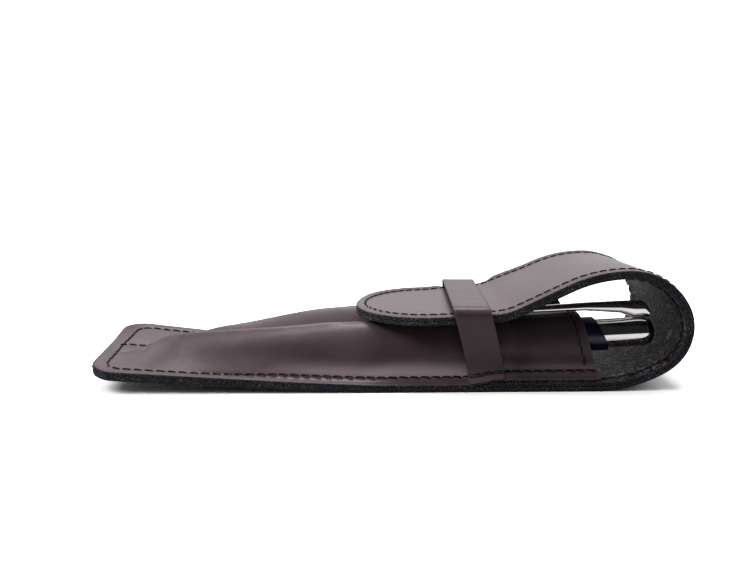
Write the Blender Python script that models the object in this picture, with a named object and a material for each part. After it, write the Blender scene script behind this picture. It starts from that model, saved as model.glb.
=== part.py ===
"""Double pen case in leather, lying on its back with one pen clipped in it.

One long strip is the back of the case, curls up and over at the right-hand end, and comes back as a
tongue flap. A moulded front panel sewn on the back makes two tunnels, one for each pen. A keeper strap
sewn across the case holds the tongue down.

X runs along the case, Y away from the viewer and Z up from the surface that the case lies on. The
origin is below the middle of the whole case.
"""

import math

import bmesh
import bpy
from mathutils import Vector

MM = 0.001

# Leather and clearances
HIDE = 1.3 * MM
LINING = 1.2 * MM
PANEL = 1.3 * MM
STRAP = 1.3 * MM
SEAT_GAP = 0.3 * MM
HINGE_GAP = 0.3 * MM

# The pen, with distances along it counted from its domed end
PEN_LENGTH = 137.8 * MM
PEN_RADIUS = 5.0 * MM
PEN_SHOULDER_RADIUS = 3.3 * MM
PEN_TUBE_RADIUS = 4.2 * MM
PEN_DOME_LENGTH = 1.8 * MM
PEN_JOINT_FROM_END = 11.5 * MM
PEN_JOINT_SLANT = 1.4 * MM
PEN_TAPER_FROM_END = 85.0 * MM
PEN_NOSE_LENGTH = 17.0 * MM
PEN_NOSE_RADIUS = 3.1 * MM
PEN_TIP_LENGTH = 3.8 * MM
PEN_TIP_RADIUS = 0.6 * MM
PEN_TILT = math.radians(2.8)
PEN_HEIGHT = 13.7 * MM
CLIP_LENGTH = 40.0 * MM
CLIP_FROM_END = 2.4 * MM
CLIP_WIDTH = 4.2 * MM
CLIP_DEPTH = 2.3 * MM
CLIP_CRANK = 9.0 * MM
CLIP_TIP_DEPTH = 1.5 * MM

# The front panel and its two tunnels
CENTRE_LAND = 5.0 * MM
TUNNEL_SIDE_EASE = 0.6 * MM
ROOM_AT_MOUTH = 0.1 * MM
ROOM_AT_TAPER = 0.08 * MM
ROOM_AT_NOSE = 0.5 * MM
ROOM_AT_TIP = 2.0 * MM
SEAM_FLANGE = 4.1 * MM
END_FLANGE = 11.1 * MM
TIP_ROOM = 9.5 * MM
FOOT_FILLET = 0.8 * MM
MOUTH_RAKE = 4.4 * MM
RAKE_LENGTH = 16.0 * MM
SQUARENESS_AT_MOUTH = 2.9
SQUARENESS_AT_TIP = 1.35
LEAST_SQUARENESS = 1.2
SQUARE_FROM_MOUTH = 62.0 * MM
EMPTY_TUNNEL_SAG = 0.30
SAG_LENGTH = 42.0 * MM
SAG_FROM_TIP = 42.0 * MM
RIDGE_DRIFT = 3.2 * MM
DRIFT_LENGTH = 32.0 * MM

# The bend of the strip, as arcs of its outer face
LOW_RADIUS = 36.0 * MM
LOW_TURN = math.radians(32.0)
END_RADIUS = 14.0 * MM
END_TURN = math.radians(88.0)
TOP_RADIUS = 20.0 * MM
TOP_TURN = math.radians(60.0)
SHOULDER_RADIUS = 40.0 * MM
SHOULDER_TURN = math.radians(26.0)
TROUGH_RADIUS = 16.9 * MM
TONGUE_FALL = math.radians(2.0)
TONGUE_LENGTH = 36.7 * MM
TONGUE_CLEARANCE = 0.6 * MM
TONGUE_TWIST = 0.9 * MM
TWIST_LENGTH = 16.0 * MM
END_ROOM = 4.6 * MM
FOLD_HEADINGS = tuple(math.radians(angle) for angle in (22.5, 67.5, 112.5, 157.5))

# The free end of the back, which curls up from the surface and twists
CORNER_RADIUS = 7.5 * MM
CURL_LENGTH = 79.0 * MM
CURL_HEIGHT = 4.2 * MM
TWIST_HEIGHT = 2.4 * MM
END_SKEW = 1.3 * MM
SKEW_LENGTH = 30.0 * MM

# The lining's hidden end and the keeper strap, placed from the mouth of the tunnels
LINING_TUCK = 35.0 * MM
LINING_STEP = 8.0 * MM
STRAP_FROM_MOUTH = 31.5 * MM
STRAP_WIDTH = 10.2 * MM
STRAP_LEAN = 5.3 * MM
STRAP_SKEW = 3.1 * MM
STRAP_SIDE_GAP = 0.4 * MM
STRAP_FOOT_INSET = 0.3 * MM
STRAP_FOOT_BEND = 1.2 * MM
STRAP_TOP_CORNER = 1.2 * MM

# Sizes that follow from the ones above
BOTH_LAYERS = HIDE + SEAT_GAP + LINING
TUNNEL_HALF = PEN_RADIUS + SEAT_GAP + PANEL + TUNNEL_SIDE_EASE
TUNNEL_Y = CENTRE_LAND / 2 + TUNNEL_HALF
TUNNEL_FOOT_Y = TUNNEL_Y + TUNNEL_HALF
HALF_WIDTH = TUNNEL_FOOT_Y + SEAM_FLANGE
PEN_REACH = PEN_LENGTH * math.cos(PEN_TILT)
CASE_LENGTH = END_FLANGE + TIP_ROOM + PEN_REACH + END_ROOM + BOTH_LAYERS
BACK_END = -CASE_LENGTH / 2
BEND_REACH = LOW_RADIUS * math.sin(LOW_TURN) + END_RADIUS * (1 - math.sin(LOW_TURN))
MOUTH_X = CASE_LENGTH / 2 - BEND_REACH
PEN_END_X = CASE_LENGTH / 2 - BOTH_LAYERS - END_ROOM
PEN_TIP_X = PEN_END_X - PEN_REACH
TUNNEL_START = BACK_END + END_FLANGE
CURL_START = BACK_END + CURL_LENGTH
LINING_END = MOUTH_X - LINING_TUCK

ROUND_STEPS = 24
ARC_STEP = math.radians(7.5)


def clear_scene():
    """Remove every object, so the case is all that the file holds."""
    for item in list(bpy.data.objects):
        bpy.data.objects.remove(item, do_unlink=True)


def ease(value):
    """Smooth step from 0 to 1, flat at both ends and held beyond them."""
    held = min(max(value, 0.0), 1.0)
    return held * held * (3 - 2 * held)


def through(knots, x):
    """Smooth curve through (x, value) knots that never swings past them."""
    if x <= knots[0][0]:
        return knots[0][1]
    if x >= knots[-1][0]:
        return knots[-1][1]
    widths = [b[0] - a[0] for a, b in zip(knots, knots[1:])]
    slopes = [(b[1] - a[1]) / width for a, b, width in zip(knots, knots[1:], widths)]
    tangents = [slopes[0]]
    for before, after in zip(slopes, slopes[1:]):
        same_way = before * after > 0
        tangents.append(2 * before * after / (before + after) if same_way else 0.0)
    tangents.append(slopes[-1])
    place = max(i for i in range(len(widths)) if knots[i][0] <= x)
    width = widths[place]
    t = (x - knots[place][0]) / width
    start, end = knots[place][1], knots[place + 1][1]
    return ((2 * t**3 - 3 * t**2 + 1) * start + (t**3 - 2 * t**2 + t) * width * tangents[place]
            + (3 * t**2 - 2 * t**3) * end + (t**3 - t**2) * width * tangents[place + 1])


def spread(start, end, count):
    """Evenly spaced values from start to end, both included."""
    return [start + (end - start) * i / (count - 1) for i in range(count)]


def finish(name, colour, roughness, metallic=0.0):
    """Principled material with a plain colour."""
    material = bpy.data.materials.new(name)
    material.use_nodes = True
    shader = material.node_tree.nodes["Principled BSDF"]
    shader.inputs["Base Color"].default_value = (*colour, 1.0)
    shader.inputs["Roughness"].default_value = roughness
    shader.inputs["Metallic"].default_value = metallic
    return material


def add_object(name, mesh_builder, look, parent=None):
    """Close a bmesh into a named object with outward faces and soft shading over its curves."""
    bmesh.ops.recalc_face_normals(mesh_builder, faces=mesh_builder.faces)
    mesh = bpy.data.meshes.new(name)
    mesh_builder.to_mesh(mesh)
    mesh_builder.free()
    mesh.materials.append(look)
    mesh.shade_smooth()
    mesh.set_sharp_from_angle(angle=math.radians(35))
    item = bpy.data.objects.new(name, mesh)
    item.parent = parent
    bpy.context.collection.objects.link(item)
    return item


def leather_body(name, outer_rows, inner_rows, look, origin=None):
    """Sheet of leather as a closed body between the grids of points of its two faces."""
    builder = bmesh.new()
    shift = Vector(origin) if origin else Vector()
    outer = [[builder.verts.new(Vector(point) - shift) for point in row] for row in outer_rows]
    inner = [[builder.verts.new(Vector(point) - shift) for point in row] for row in inner_rows]
    last_row = len(outer) - 1
    last_column = len(outer[0]) - 1
    for r in range(last_row):
        for c in range(last_column):
            builder.faces.new((outer[r][c], outer[r + 1][c], outer[r + 1][c + 1], outer[r][c + 1]))
            builder.faces.new((inner[r][c], inner[r][c + 1], inner[r + 1][c + 1], inner[r + 1][c]))
        for c in (0, last_column):
            builder.faces.new((outer[r][c], outer[r + 1][c], inner[r + 1][c], inner[r][c]))
    for r in (0, last_row):
        for c in range(last_column):
            builder.faces.new((outer[r][c], outer[r][c + 1], inner[r][c + 1], inner[r][c]))
    item = add_object(name, builder, look)
    item.location = shift
    return item


def offset_line(points, distance):
    """Line moved sideways by a distance, to the right of its own direction, with mitred corners."""
    moved = []
    for i, point in enumerate(points):
        here = Vector(point)
        before = (here - Vector(points[i - 1])).normalized() if i else None
        after = (Vector(points[i + 1]) - here).normalized() if i + 1 < len(points) else None
        before = before or after
        after = after or before
        normal = Vector((before.y + after.y, -before.x - after.x)).normalized()
        miter = max(normal.dot(Vector((after.y, -after.x))), 0.6)
        moved.append(here + normal * (distance / miter))
    return moved


class StripLine:
    """Outer face of the strip seen from the front, as arcs and straight runs that join smoothly."""

    def __init__(self, start, runs):
        self.runs = []
        point, heading = Vector(start), 0.0
        for length, curvature in runs:
            self.runs.append((length, curvature, point, heading))
            point, heading = self._along(point, heading, curvature, length)
        self.length = sum(run[0] for run in self.runs)
        self.end_height = point.y

    @staticmethod
    def _along(point, heading, curvature, distance):
        if abs(curvature) < 1e-9:
            step = Vector((math.cos(heading), math.sin(heading))) * distance
            return point + step, heading
        turned = heading + curvature * distance
        step = Vector((math.sin(turned) - math.sin(heading), math.cos(heading) - math.cos(turned)))
        return point + step / curvature, turned

    def at(self, distance):
        """Point (x, z) and heading at a distance along the line."""
        left = distance
        for length, curvature, point, heading in self.runs:
            if left <= length:
                return self._along(point, heading, curvature, left)
            left -= length
        length, curvature, point, heading = self.runs[-1]
        return self._along(point, heading, curvature, length)

    def where_heading(self, wanted):
        """Distance at which the line first points a given way."""
        passed = 0.0
        for length, curvature, _, heading in self.runs:
            if curvature > 0 and heading <= wanted <= heading + curvature * length:
                return passed + (wanted - heading) / curvature
            passed += length
        raise ValueError("the strip never points that way")

    def stations(self, start, end):
        """Distances from start to end, closer together on the tighter arcs."""
        marks = [start]
        passed = 0.0
        for length, curvature, _, _ in self.runs:
            low, high = max(start, passed), min(end, passed + length)
            if high - low > 1e-6:
                turn = abs(curvature) * (high - low)
                steps = max(1, 2 * math.ceil(turn / ARC_STEP / 2))
                marks += spread(low, high, steps + 1)[1:]
            passed += length
        return marks


def arc(radius, turn):
    """Run of the strip's line that turns up and back over the case."""
    return radius * turn, 1 / radius


def curl(x, y):
    """Height that the free end of the back has curled up by at a place."""
    along = max(0.0, (CURL_START - x) / CURL_LENGTH)
    twist = TWIST_HEIGHT * along**2 * (y + HALF_WIDTH) / (2 * HALF_WIDTH)
    return CURL_HEIGHT * along**1.25 + twist


def end_half_width(x):
    """Half the width of the back and the panel, which have rounded corners at the free end."""
    into_corner = BACK_END + CORNER_RADIUS - x
    if into_corner <= 0:
        return HALF_WIDTH
    return HALF_WIDTH - CORNER_RADIUS + math.sqrt(max(0.0, CORNER_RADIUS**2 - into_corner**2))


def end_skew(x, y):
    """Distance that the free end is cut back by at a place, because it isn't quite square."""
    near_end = 1 - ease((x - BACK_END) / SKEW_LENGTH)
    return END_SKEW * near_end * (y + HALF_WIDTH) / (2 * HALF_WIDTH)


def corner_stations():
    """Places along the rounded corners of the free end."""
    angles = spread(0.0, math.pi / 2, 6)
    return [BACK_END + CORNER_RADIUS * (1 - math.cos(angle)) for angle in angles]


def flange_top(x):
    """Height of the panel's sewn edge before curl, which steps up over the end of the lining."""
    step = ease((x - LINING_END + LINING_STEP) / LINING_STEP)
    return HIDE + SEAT_GAP + PANEL + (LINING + SEAT_GAP) * step


def pen_axis_height(x):
    """Height of the pen's axis at a place along the case."""
    return PEN_HEIGHT + (x - MOUTH_X) * math.tan(PEN_TILT)


def crest_height(x):
    """Height of the full tunnel's ridge, which is moulded over the pen inside it."""
    taper_x = PEN_END_X - PEN_TAPER_FROM_END
    nose_x = PEN_TIP_X + PEN_TIP_LENGTH + PEN_NOSE_LENGTH
    middle = ((taper_x + nose_x) / 2, (PEN_RADIUS + PEN_SHOULDER_RADIUS) / 2, (ROOM_AT_TAPER + ROOM_AT_NOSE) / 2)
    knots = [(TUNNEL_START, flange_top(TUNNEL_START) + curl(TUNNEL_START, -TUNNEL_Y))]
    for place, radius, room in ((PEN_TIP_X, PEN_TIP_RADIUS, ROOM_AT_TIP),
                                (nose_x, PEN_SHOULDER_RADIUS, ROOM_AT_NOSE), middle,
                                (taper_x, PEN_RADIUS, ROOM_AT_TAPER), (MOUTH_X, PEN_RADIUS, ROOM_AT_MOUTH)):
        knots.append((place, pen_axis_height(place) + radius + SEAT_GAP + PANEL + room))
    return through(knots, x)


def tunnel_rise(x, side):
    """Height of a tunnel's ridge over the panel's sewn edge. The empty far one lies flatter at its end."""
    rise = crest_height(x) - flange_top(x) - curl(x, -TUNNEL_Y)
    if side > 0:
        rise *= 1 - EMPTY_TUNNEL_SAG * ease((PEN_TIP_X + SAG_FROM_TIP - x) / SAG_LENGTH)
    return max(rise, 0.0)


def panel_section(x, depth):
    """Line across the panel at a depth below its face, as (y, height over the sewn edge) from -Y to +Y."""
    square_at = (x - MOUTH_X + SQUARE_FROM_MOUTH) / (MOUTH_X - SQUARE_FROM_MOUTH - PEN_TIP_X)
    squareness = SQUARENESS_AT_MOUTH + (SQUARENESS_AT_MOUTH - SQUARENESS_AT_TIP) * min(square_at, 0.0)
    power = 2 / max(squareness, LEAST_SQUARENESS)
    angles = [math.radians(angle) for angle in (168, 156, 143, 128, 112, 96, 84, 68, 52, 37, 24, 12)]
    line = [(-end_half_width(x), -depth), (-TUNNEL_FOOT_Y - FOOT_FILLET, -depth)]
    for side in (-1, 1):
        rise = tunnel_rise(x, side)
        foot = min(FOOT_FILLET, rise / 3)
        standing = min(rise / (3 * PANEL), 1.0)
        half = TUNNEL_HALF - standing * depth
        drift = -side * RIDGE_DRIFT * standing * (1 - ease((x - PEN_TIP_X) / DRIFT_LENGTH))
        middle = side * TUNNEL_Y
        foot_half = half + 0.25 * foot
        line.append((middle - foot_half, 0.3 * foot - depth))
        for angle in angles:
            across = math.copysign(abs(math.cos(angle))**power, math.cos(angle))
            up = math.sin(angle)**power
            place = middle + half * across + drift * up
            line.append((place, rise * up - depth * (1 - standing + standing * up)))
        line.append((middle + foot_half, 0.3 * foot - depth))
        if side < 0:
            line += [(-CENTRE_LAND / 2 + FOOT_FILLET, -depth), (CENTRE_LAND / 2 - FOOT_FILLET, -depth)]
    line += [(TUNNEL_FOOT_Y + FOOT_FILLET, -depth), (end_half_width(x), -depth)]
    return line


def build_front_panel(look):
    """Panel that makes both tunnels, moulded high over the pens and flat along its sewn edges."""
    moulded = spread(TUNNEL_START, MOUTH_X, 22)[1:]
    outer_rows, inner_rows = [], []
    for x in corner_stations() + [TUNNEL_START] + moulded:
        narrowing = end_half_width(x) / HALF_WIDTH
        tallest = max(tunnel_rise(x, -1), 1e-6)
        raked = MOUTH_RAKE * ease((x - MOUTH_X + RAKE_LENGTH) / RAKE_LENGTH)
        for rows, depth in ((outer_rows, 0.0), (inner_rows, PANEL)):
            row = []
            for y, height in panel_section(x, depth):
                place = min(max(y, -end_half_width(x)), end_half_width(x))
                if narrowing < 1 and abs(place) < end_half_width(x):
                    place *= narrowing
                back = raked * min(max(height / tallest, 0.0), 1.0)
                level = flange_top(x) + curl(x, place)
                row.append((x - back + end_skew(x, place), place, level + height))
            rows.append(row)
    return leather_body("front_panel", outer_rows, inner_rows, look)


def back_rows(start, low, high):
    """Rows of points of a flat layer of the back, up to the foot of the bend."""
    corners = [x for x in corner_stations() if x >= start]
    flat = corners + spread(max(start, BACK_END + CORNER_RADIUS), MOUTH_X, 14)[(1 if corners else 0):]
    below, above = [], []
    for x in flat:
        half = end_half_width(x)
        below.append([(x + end_skew(x, y), y, low + curl(x, y)) for y in (-half, half)])
        above.append([(x + end_skew(x, y), y, high + curl(x, y)) for y in (-half, half)])
    return below, above


def tongue_sink(line, distance, y):
    """Height that the tongue drops by at a place, because it tips over the empty tunnel."""
    past_trough = distance - (line.length - TONGUE_LENGTH)
    return TONGUE_TWIST * ease(past_trough / TWIST_LENGTH) * (y + HALF_WIDTH) / (2 * HALF_WIDTH)


def strip_rows(line, distances, depth, half_widths):
    """Rows of points at a depth inside the strip's outer face, one row for each distance along it."""
    rows = []
    for distance, half in zip(distances, half_widths):
        point, heading = line.at(distance)
        inward = Vector((-math.sin(heading), math.cos(heading)))
        place = point + inward * depth
        rows.append([(place.x, y, place.y - tongue_sink(line, distance, y)) for y in (-half, half)])
    return rows


def build_back(line, hide_look, lining_look):
    """Back of the case, with the lining that starts under the panel, both up to the first fold."""
    first_fold = line.where_heading(FOLD_HEADINGS[0]) - HINGE_GAP / 2
    rising = line.stations(0.0, first_fold)[1:]
    halves = [HALF_WIDTH] * len(rising)
    for name, start, low, high, look in (
            ("back_hide", BACK_END, 0.0, HIDE, hide_look),
            ("pocket_lining", LINING_END, HIDE + SEAT_GAP, BOTH_LAYERS, lining_look)):
        below, above = back_rows(start, low, high)
        below += strip_rows(line, rising, low, halves)
        above += strip_rows(line, rising, high, halves)
        leather_body(name, below, above, look)


def tongue_half_widths(line, distances):
    """Half widths along the flap, whose end is half a circle."""
    widths = []
    for distance in distances:
        from_tip = line.length - distance
        into_round = max(0.0, HALF_WIDTH - from_tip)
        widths.append(math.sqrt(max(HALF_WIDTH**2 - into_round**2, 0.0)))
    return widths


def build_bend_and_flap(line, hide_look, lining_look):
    """Links of the bend and the flap, each with its origin on the fold that it turns about."""
    folds = [line.where_heading(heading) for heading in FOLD_HEADINGS]
    for link, (fold, next_fold) in enumerate(zip(folds, folds[1:]), start=1):
        distances = line.stations(fold + HINGE_GAP / 2, next_fold - HINGE_GAP / 2)
        halves = [HALF_WIDTH] * len(distances)
        build_layers(line, fold, distances, halves, (f"bend_hide_{link}", hide_look),
                     (f"bend_lining_{link}", lining_look))
    start = folds[-1] + HINGE_GAP / 2
    straight = line.stations(start, line.length - HALF_WIDTH)
    round_angles = [math.radians(angle) for angle in (72, 54, 38, 26, 16, 8)]
    rounded = [line.length - HALF_WIDTH * (1 - math.cos(angle)) for angle in round_angles]
    distances = straight + rounded
    halves = tongue_half_widths(line, distances)
    build_layers(line, folds[-1], distances, halves, ("flap_hide", hide_look), ("flap_lining", lining_look))


def build_layers(line, fold, distances, halves, hide, lining):
    """Hide and lining of one stretch of the strip."""
    point, _ = line.at(fold)
    origin = (point.x, 0.0, point.y)
    for (name, look), low, high in ((hide, 0.0, HIDE), (lining, HIDE + SEAT_GAP, BOTH_LAYERS)):
        outer = strip_rows(line, distances, low, halves)
        inner = strip_rows(line, distances, high, halves)
        leather_body(name, outer, inner, look, origin)


def tongue_top(line, x):
    """Height of the flap's outer face over the strap's place."""
    heights = [line.at(distance)[0] for distance in spread(line.length * 0.6, line.length, 60)]
    nearest = min(heights, key=lambda point: abs(point.x - x))
    return nearest.y


def build_keeper_strap(line, look):
    """Strap over the tongue, leaning back as it rises, with a foot sewn down on each flange."""
    foot_x = MOUTH_X - STRAP_FROM_MOUTH
    top = max(tongue_top(line, foot_x - STRAP_LEAN + part * STRAP_WIDTH) for part in (-0.5, 0.0, 0.5, 0.8))
    inner_top = top + SEAT_GAP
    wall_y = TUNNEL_FOOT_Y + FOOT_FILLET + SEAT_GAP
    side_y = HALF_WIDTH + STRAP_SIDE_GAP
    outer_rows, inner_rows = [], []
    for across in spread(-0.5, 0.5, 5):
        x_low = foot_x + across * STRAP_WIDTH
        seat = flange_top(x_low) + SEAT_GAP
        half_line = [
            (-HALF_WIDTH + STRAP_FOOT_INSET, seat),
            (-wall_y - STRAP_FOOT_BEND, seat),
            (-wall_y, seat + STRAP_FOOT_BEND),
            (-side_y, inner_top - 4.0 * STRAP),
            (-side_y, inner_top - STRAP_TOP_CORNER),
            (-side_y + 0.3 * STRAP_TOP_CORNER, inner_top - 0.3 * STRAP_TOP_CORNER),
            (-side_y + STRAP_TOP_CORNER, inner_top),
            (-side_y / 3, inner_top),
        ]
        inner_line = half_line + [(-y, z) for y, z in reversed(half_line)]
        outer_line = offset_line(inner_line, -STRAP)
        for rows, section in ((inner_rows, inner_line), (outer_rows, outer_line)):
            row = []
            for y, z in section:
                risen = (z - seat) / (inner_top - seat)
                to_far_side = (y + side_y) / (2 * side_y)
                lean = -STRAP_LEAN * risen + STRAP_SKEW * risen * to_far_side
                row.append((x_low + lean, y, z))
            rows.append(row)
    return leather_body("keeper_strap", outer_rows, inner_rows, look)


def turned_body(name, profile, look, parent, slants=(0.0, 0.0)):
    """Round body along the pen's axis from (place, radius) pairs, with ends that may be cut slanting."""
    builder = bmesh.new()
    rings = []
    for i, (place, radius) in enumerate(profile):
        slant = slants[0] if i == 0 else slants[1] if i == len(profile) - 1 else 0.0
        ring = []
        for step in range(ROUND_STEPS):
            angle = 2 * math.pi * step / ROUND_STEPS
            up = math.sin(angle)
            ring.append(builder.verts.new((place + slant * up, radius * math.cos(angle), radius * up)))
        rings.append(ring)
    for low, high in zip(rings, rings[1:]):
        for step in range(ROUND_STEPS):
            beside = (step + 1) % ROUND_STEPS
            builder.faces.new((low[step], low[beside], high[beside], high[step]))
    builder.faces.new(rings[0])
    builder.faces.new(rings[-1])
    return add_object(name, builder, look, parent)


def build_pen(chrome, navy, black):
    """Pen in the near tunnel, turned about one axis that rises towards its domed end."""
    axis = bpy.data.objects.new("pen_axis", None)
    axis.location = (MOUTH_X, -TUNNEL_Y, PEN_HEIGHT)
    axis.rotation_euler = (0.0, -PEN_TILT, 0.0)
    bpy.context.collection.objects.link(axis)
    end = (PEN_END_X - MOUTH_X) / math.cos(PEN_TILT)
    joint = end - PEN_JOINT_FROM_END
    taper = end - PEN_TAPER_FROM_END
    tip_root = end - PEN_LENGTH + PEN_TIP_LENGTH
    nose_root = tip_root + PEN_NOSE_LENGTH
    ring_lip = 0.5 * MM
    half_gap = SEAT_GAP / 2

    turned_body("pen_barrel", [
        (nose_root + half_gap, PEN_SHOULDER_RADIUS - ring_lip / 2),
        (nose_root + half_gap + ring_lip, PEN_SHOULDER_RADIUS),
        (taper, PEN_RADIUS),
        (joint - half_gap - PEN_JOINT_SLANT - ring_lip, PEN_RADIUS),
        (joint - half_gap, PEN_RADIUS - ring_lip / 2),
    ], navy, axis, (0.0, PEN_JOINT_SLANT))

    dome_root = end - PEN_DOME_LENGTH
    turned_body("pen_tube", [
        (joint + half_gap, PEN_TUBE_RADIUS),
        (dome_root - half_gap - ring_lip, PEN_TUBE_RADIUS),
        (dome_root - half_gap, PEN_TUBE_RADIUS - ring_lip / 2),
    ], chrome, axis, (PEN_JOINT_SLANT, 0.0))

    dome_radius = PEN_TUBE_RADIUS - ring_lip
    dome = []
    for angle in spread(0.0, math.radians(80), 5):
        place = dome_root + half_gap + (PEN_DOME_LENGTH - half_gap) * math.sin(angle)
        dome.append((place, dome_radius * math.cos(angle)))
    turned_body("pen_end_dome", dome, black, axis)

    cone = []
    for part in spread(0.0, 1.0, 5):
        radius = PEN_TIP_RADIUS + ring_lip + (PEN_NOSE_RADIUS - PEN_TIP_RADIUS - ring_lip) * part**0.8
        cone.append((tip_root + half_gap + (PEN_NOSE_LENGTH - 2 * half_gap) * part, radius))
    turned_body("pen_nose", cone, chrome, axis)

    turned_body("pen_tip", [
        (tip_root - PEN_TIP_LENGTH, PEN_TIP_RADIUS * 0.5),
        (tip_root - PEN_TIP_LENGTH + ring_lip, PEN_TIP_RADIUS * 0.8),
        (tip_root - half_gap, PEN_TIP_RADIUS),
    ], chrome, axis)
    build_clip(end, joint, chrome, axis)


def build_clip(end, joint, look, axis):
    """Sprung clip that stands on the chrome tube and lies outside the leather of the tunnel."""
    over_leather = PEN_RADIUS + SEAT_GAP + PANEL + ROOM_AT_MOUTH + SEAT_GAP
    over_barrel = PEN_RADIUS + SEAT_GAP
    over_tube = PEN_TUBE_RADIUS + SEAT_GAP
    root = end - CLIP_FROM_END
    free_end = root - CLIP_LENGTH
    back = over_leather + CLIP_DEPTH
    step = joint + PEN_JOINT_SLANT + 1.0 * MM
    outline = [
        (free_end, over_leather + 0.3 * CLIP_TIP_DEPTH),
        (free_end + 0.5 * MM, over_leather),
        (-2.0 * MM, over_leather),
        (1.0 * MM, over_barrel),
        (step, over_barrel),
        (step + 1.0 * MM, over_tube),
        (root, over_tube),
        (root, back - 1.6 * MM),
        (root - 1.5 * MM, back - 0.2 * MM),
        (root - 0.45 * CLIP_LENGTH, back),
        (root - CLIP_LENGTH + CLIP_CRANK, back - 0.3 * MM),
        (free_end + 0.6 * MM, over_leather + CLIP_TIP_DEPTH),
    ]
    builder = bmesh.new()
    near = [builder.verts.new((place, -CLIP_WIDTH / 2, height)) for place, height in outline]
    face = builder.faces.new(near)
    pushed = bmesh.ops.extrude_face_region(builder, geom=[face])
    moved = [item for item in pushed["geom"] if isinstance(item, bmesh.types.BMVert)]
    bmesh.ops.translate(builder, verts=moved, vec=(0.0, CLIP_WIDTH, 0.0))
    clip = add_object("pen_clip", builder, look, axis)
    rounding = clip.modifiers.new("rounding", "BEVEL")
    rounding.width = 0.4 * MM
    rounding.segments = 2
    rounding.limit_method = "ANGLE"
    rounding.angle_limit = math.radians(50)
    return clip


def strip_line():
    """Line of the strip beyond the mouth, with its slope long enough to set the tongue on the panel."""
    strap_x = MOUTH_X - STRAP_FROM_MOUTH
    tongue_height = crest_height(strap_x) + TONGUE_CLEARANCE + BOTH_LAYERS
    turns = [arc(LOW_RADIUS, LOW_TURN), arc(END_RADIUS, END_TURN), arc(TOP_RADIUS, TOP_TURN),
             arc(SHOULDER_RADIUS, SHOULDER_TURN)]
    shoulder_height = StripLine((MOUTH_X, 0.0), turns).end_height
    heading = LOW_TURN + END_TURN + TOP_TURN + SHOULDER_TURN - math.pi
    trough_turn = heading - TONGUE_FALL
    trough_fall = TROUGH_RADIUS * (math.cos(TONGUE_FALL) - math.cos(heading))
    slope = (shoulder_height - tongue_height - trough_fall) / math.sin(heading)
    runs = turns + [(slope, 0.0), (TROUGH_RADIUS * trough_turn, -1 / TROUGH_RADIUS), (TONGUE_LENGTH, 0.0)]
    return StripLine((MOUTH_X, 0.0), runs)


def main():
    clear_scene()
    hide = finish("brown_hide", (0.14, 0.10, 0.10), 0.45)
    moulded = finish("moulded_hide", (0.14, 0.10, 0.10), 0.42)
    lining = finish("dark_lining", (0.06, 0.05, 0.055), 0.6)
    strap = finish("strap_hide", (0.15, 0.11, 0.11), 0.45)
    chrome = finish("polished_chrome", (0.75, 0.75, 0.77), 0.08, 1.0)
    navy = finish("navy_lacquer", (0.02, 0.03, 0.09), 0.15)
    black = finish("black_plastic", (0.02, 0.02, 0.02), 0.3)
    line = strip_line()
    build_back(line, hide, lining)
    build_front_panel(moulded)
    build_bend_and_flap(line, hide, lining)
    build_keeper_strap(line, strap)
    build_pen(chrome, navy, black)


main()
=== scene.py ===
"""Looks of the double pen case: leather, thread and pen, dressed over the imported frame."""

import logging
import math
import random
from bisect import bisect_right
from collections.abc import Callable, Sequence
from dataclasses import dataclass, field
from enum import Enum
from itertools import accumulate

import bpy
from mathutils import Matrix, Vector, noise


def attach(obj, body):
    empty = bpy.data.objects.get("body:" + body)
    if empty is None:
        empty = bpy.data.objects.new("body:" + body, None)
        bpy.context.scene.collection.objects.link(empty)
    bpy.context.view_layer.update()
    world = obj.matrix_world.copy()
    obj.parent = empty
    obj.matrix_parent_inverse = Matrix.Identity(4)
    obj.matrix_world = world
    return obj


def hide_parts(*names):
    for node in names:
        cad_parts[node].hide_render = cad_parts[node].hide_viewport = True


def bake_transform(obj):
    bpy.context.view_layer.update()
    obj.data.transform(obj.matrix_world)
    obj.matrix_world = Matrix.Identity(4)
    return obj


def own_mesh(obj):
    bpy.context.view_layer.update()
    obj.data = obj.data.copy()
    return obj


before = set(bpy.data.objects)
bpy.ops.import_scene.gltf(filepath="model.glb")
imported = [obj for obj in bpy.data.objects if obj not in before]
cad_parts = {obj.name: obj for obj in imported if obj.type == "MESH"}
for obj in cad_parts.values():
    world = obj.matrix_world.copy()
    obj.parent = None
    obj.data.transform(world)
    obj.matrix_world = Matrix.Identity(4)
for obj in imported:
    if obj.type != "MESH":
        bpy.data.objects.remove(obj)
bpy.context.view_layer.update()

MM = 0.001
TINY = 1e-9
LEAST_HEIGHT = 1e-6
NEARLY_HALF = 0.49
Colour = tuple[float, float, float]
Pair = tuple[float, float]
Place = tuple[float, float, float]
Profile = list[tuple[float, float, float]]
log = logging.getLogger("pen_case")


# Curves and small helpers


def ease(value: float) -> float:
    """Smooth step from 0 to 1, flat at both ends and held beyond them."""
    held = min(max(value, 0.0), 1.0)
    return held * held * (3 - 2 * held)


def lerp(start: float, end: float, share: float) -> float:
    """Value that lies a share of the way from start to end."""
    return start + (end - start) * share


def spread(start: float, end: float, count: int) -> list[float]:
    """Evenly spaced values from start to end, both included."""
    return [lerp(start, end, i / (count - 1)) for i in range(count)]


@dataclass(frozen=True)
class Stretch:
    """Stretch of a line, in millimetres, over which something takes effect and fades again."""

    start: float = -math.inf
    rise: float = 1.0
    end: float = math.inf
    fall: float = 1.0

    def at(self, place: float) -> float:
        """Share of the effect at a place in metres, from 0 outside the stretch to 1 well inside it."""
        risen = ease((place - self.start * MM) / (self.rise * MM))
        return risen * ease((self.end * MM - place) / (self.fall * MM))


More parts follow.
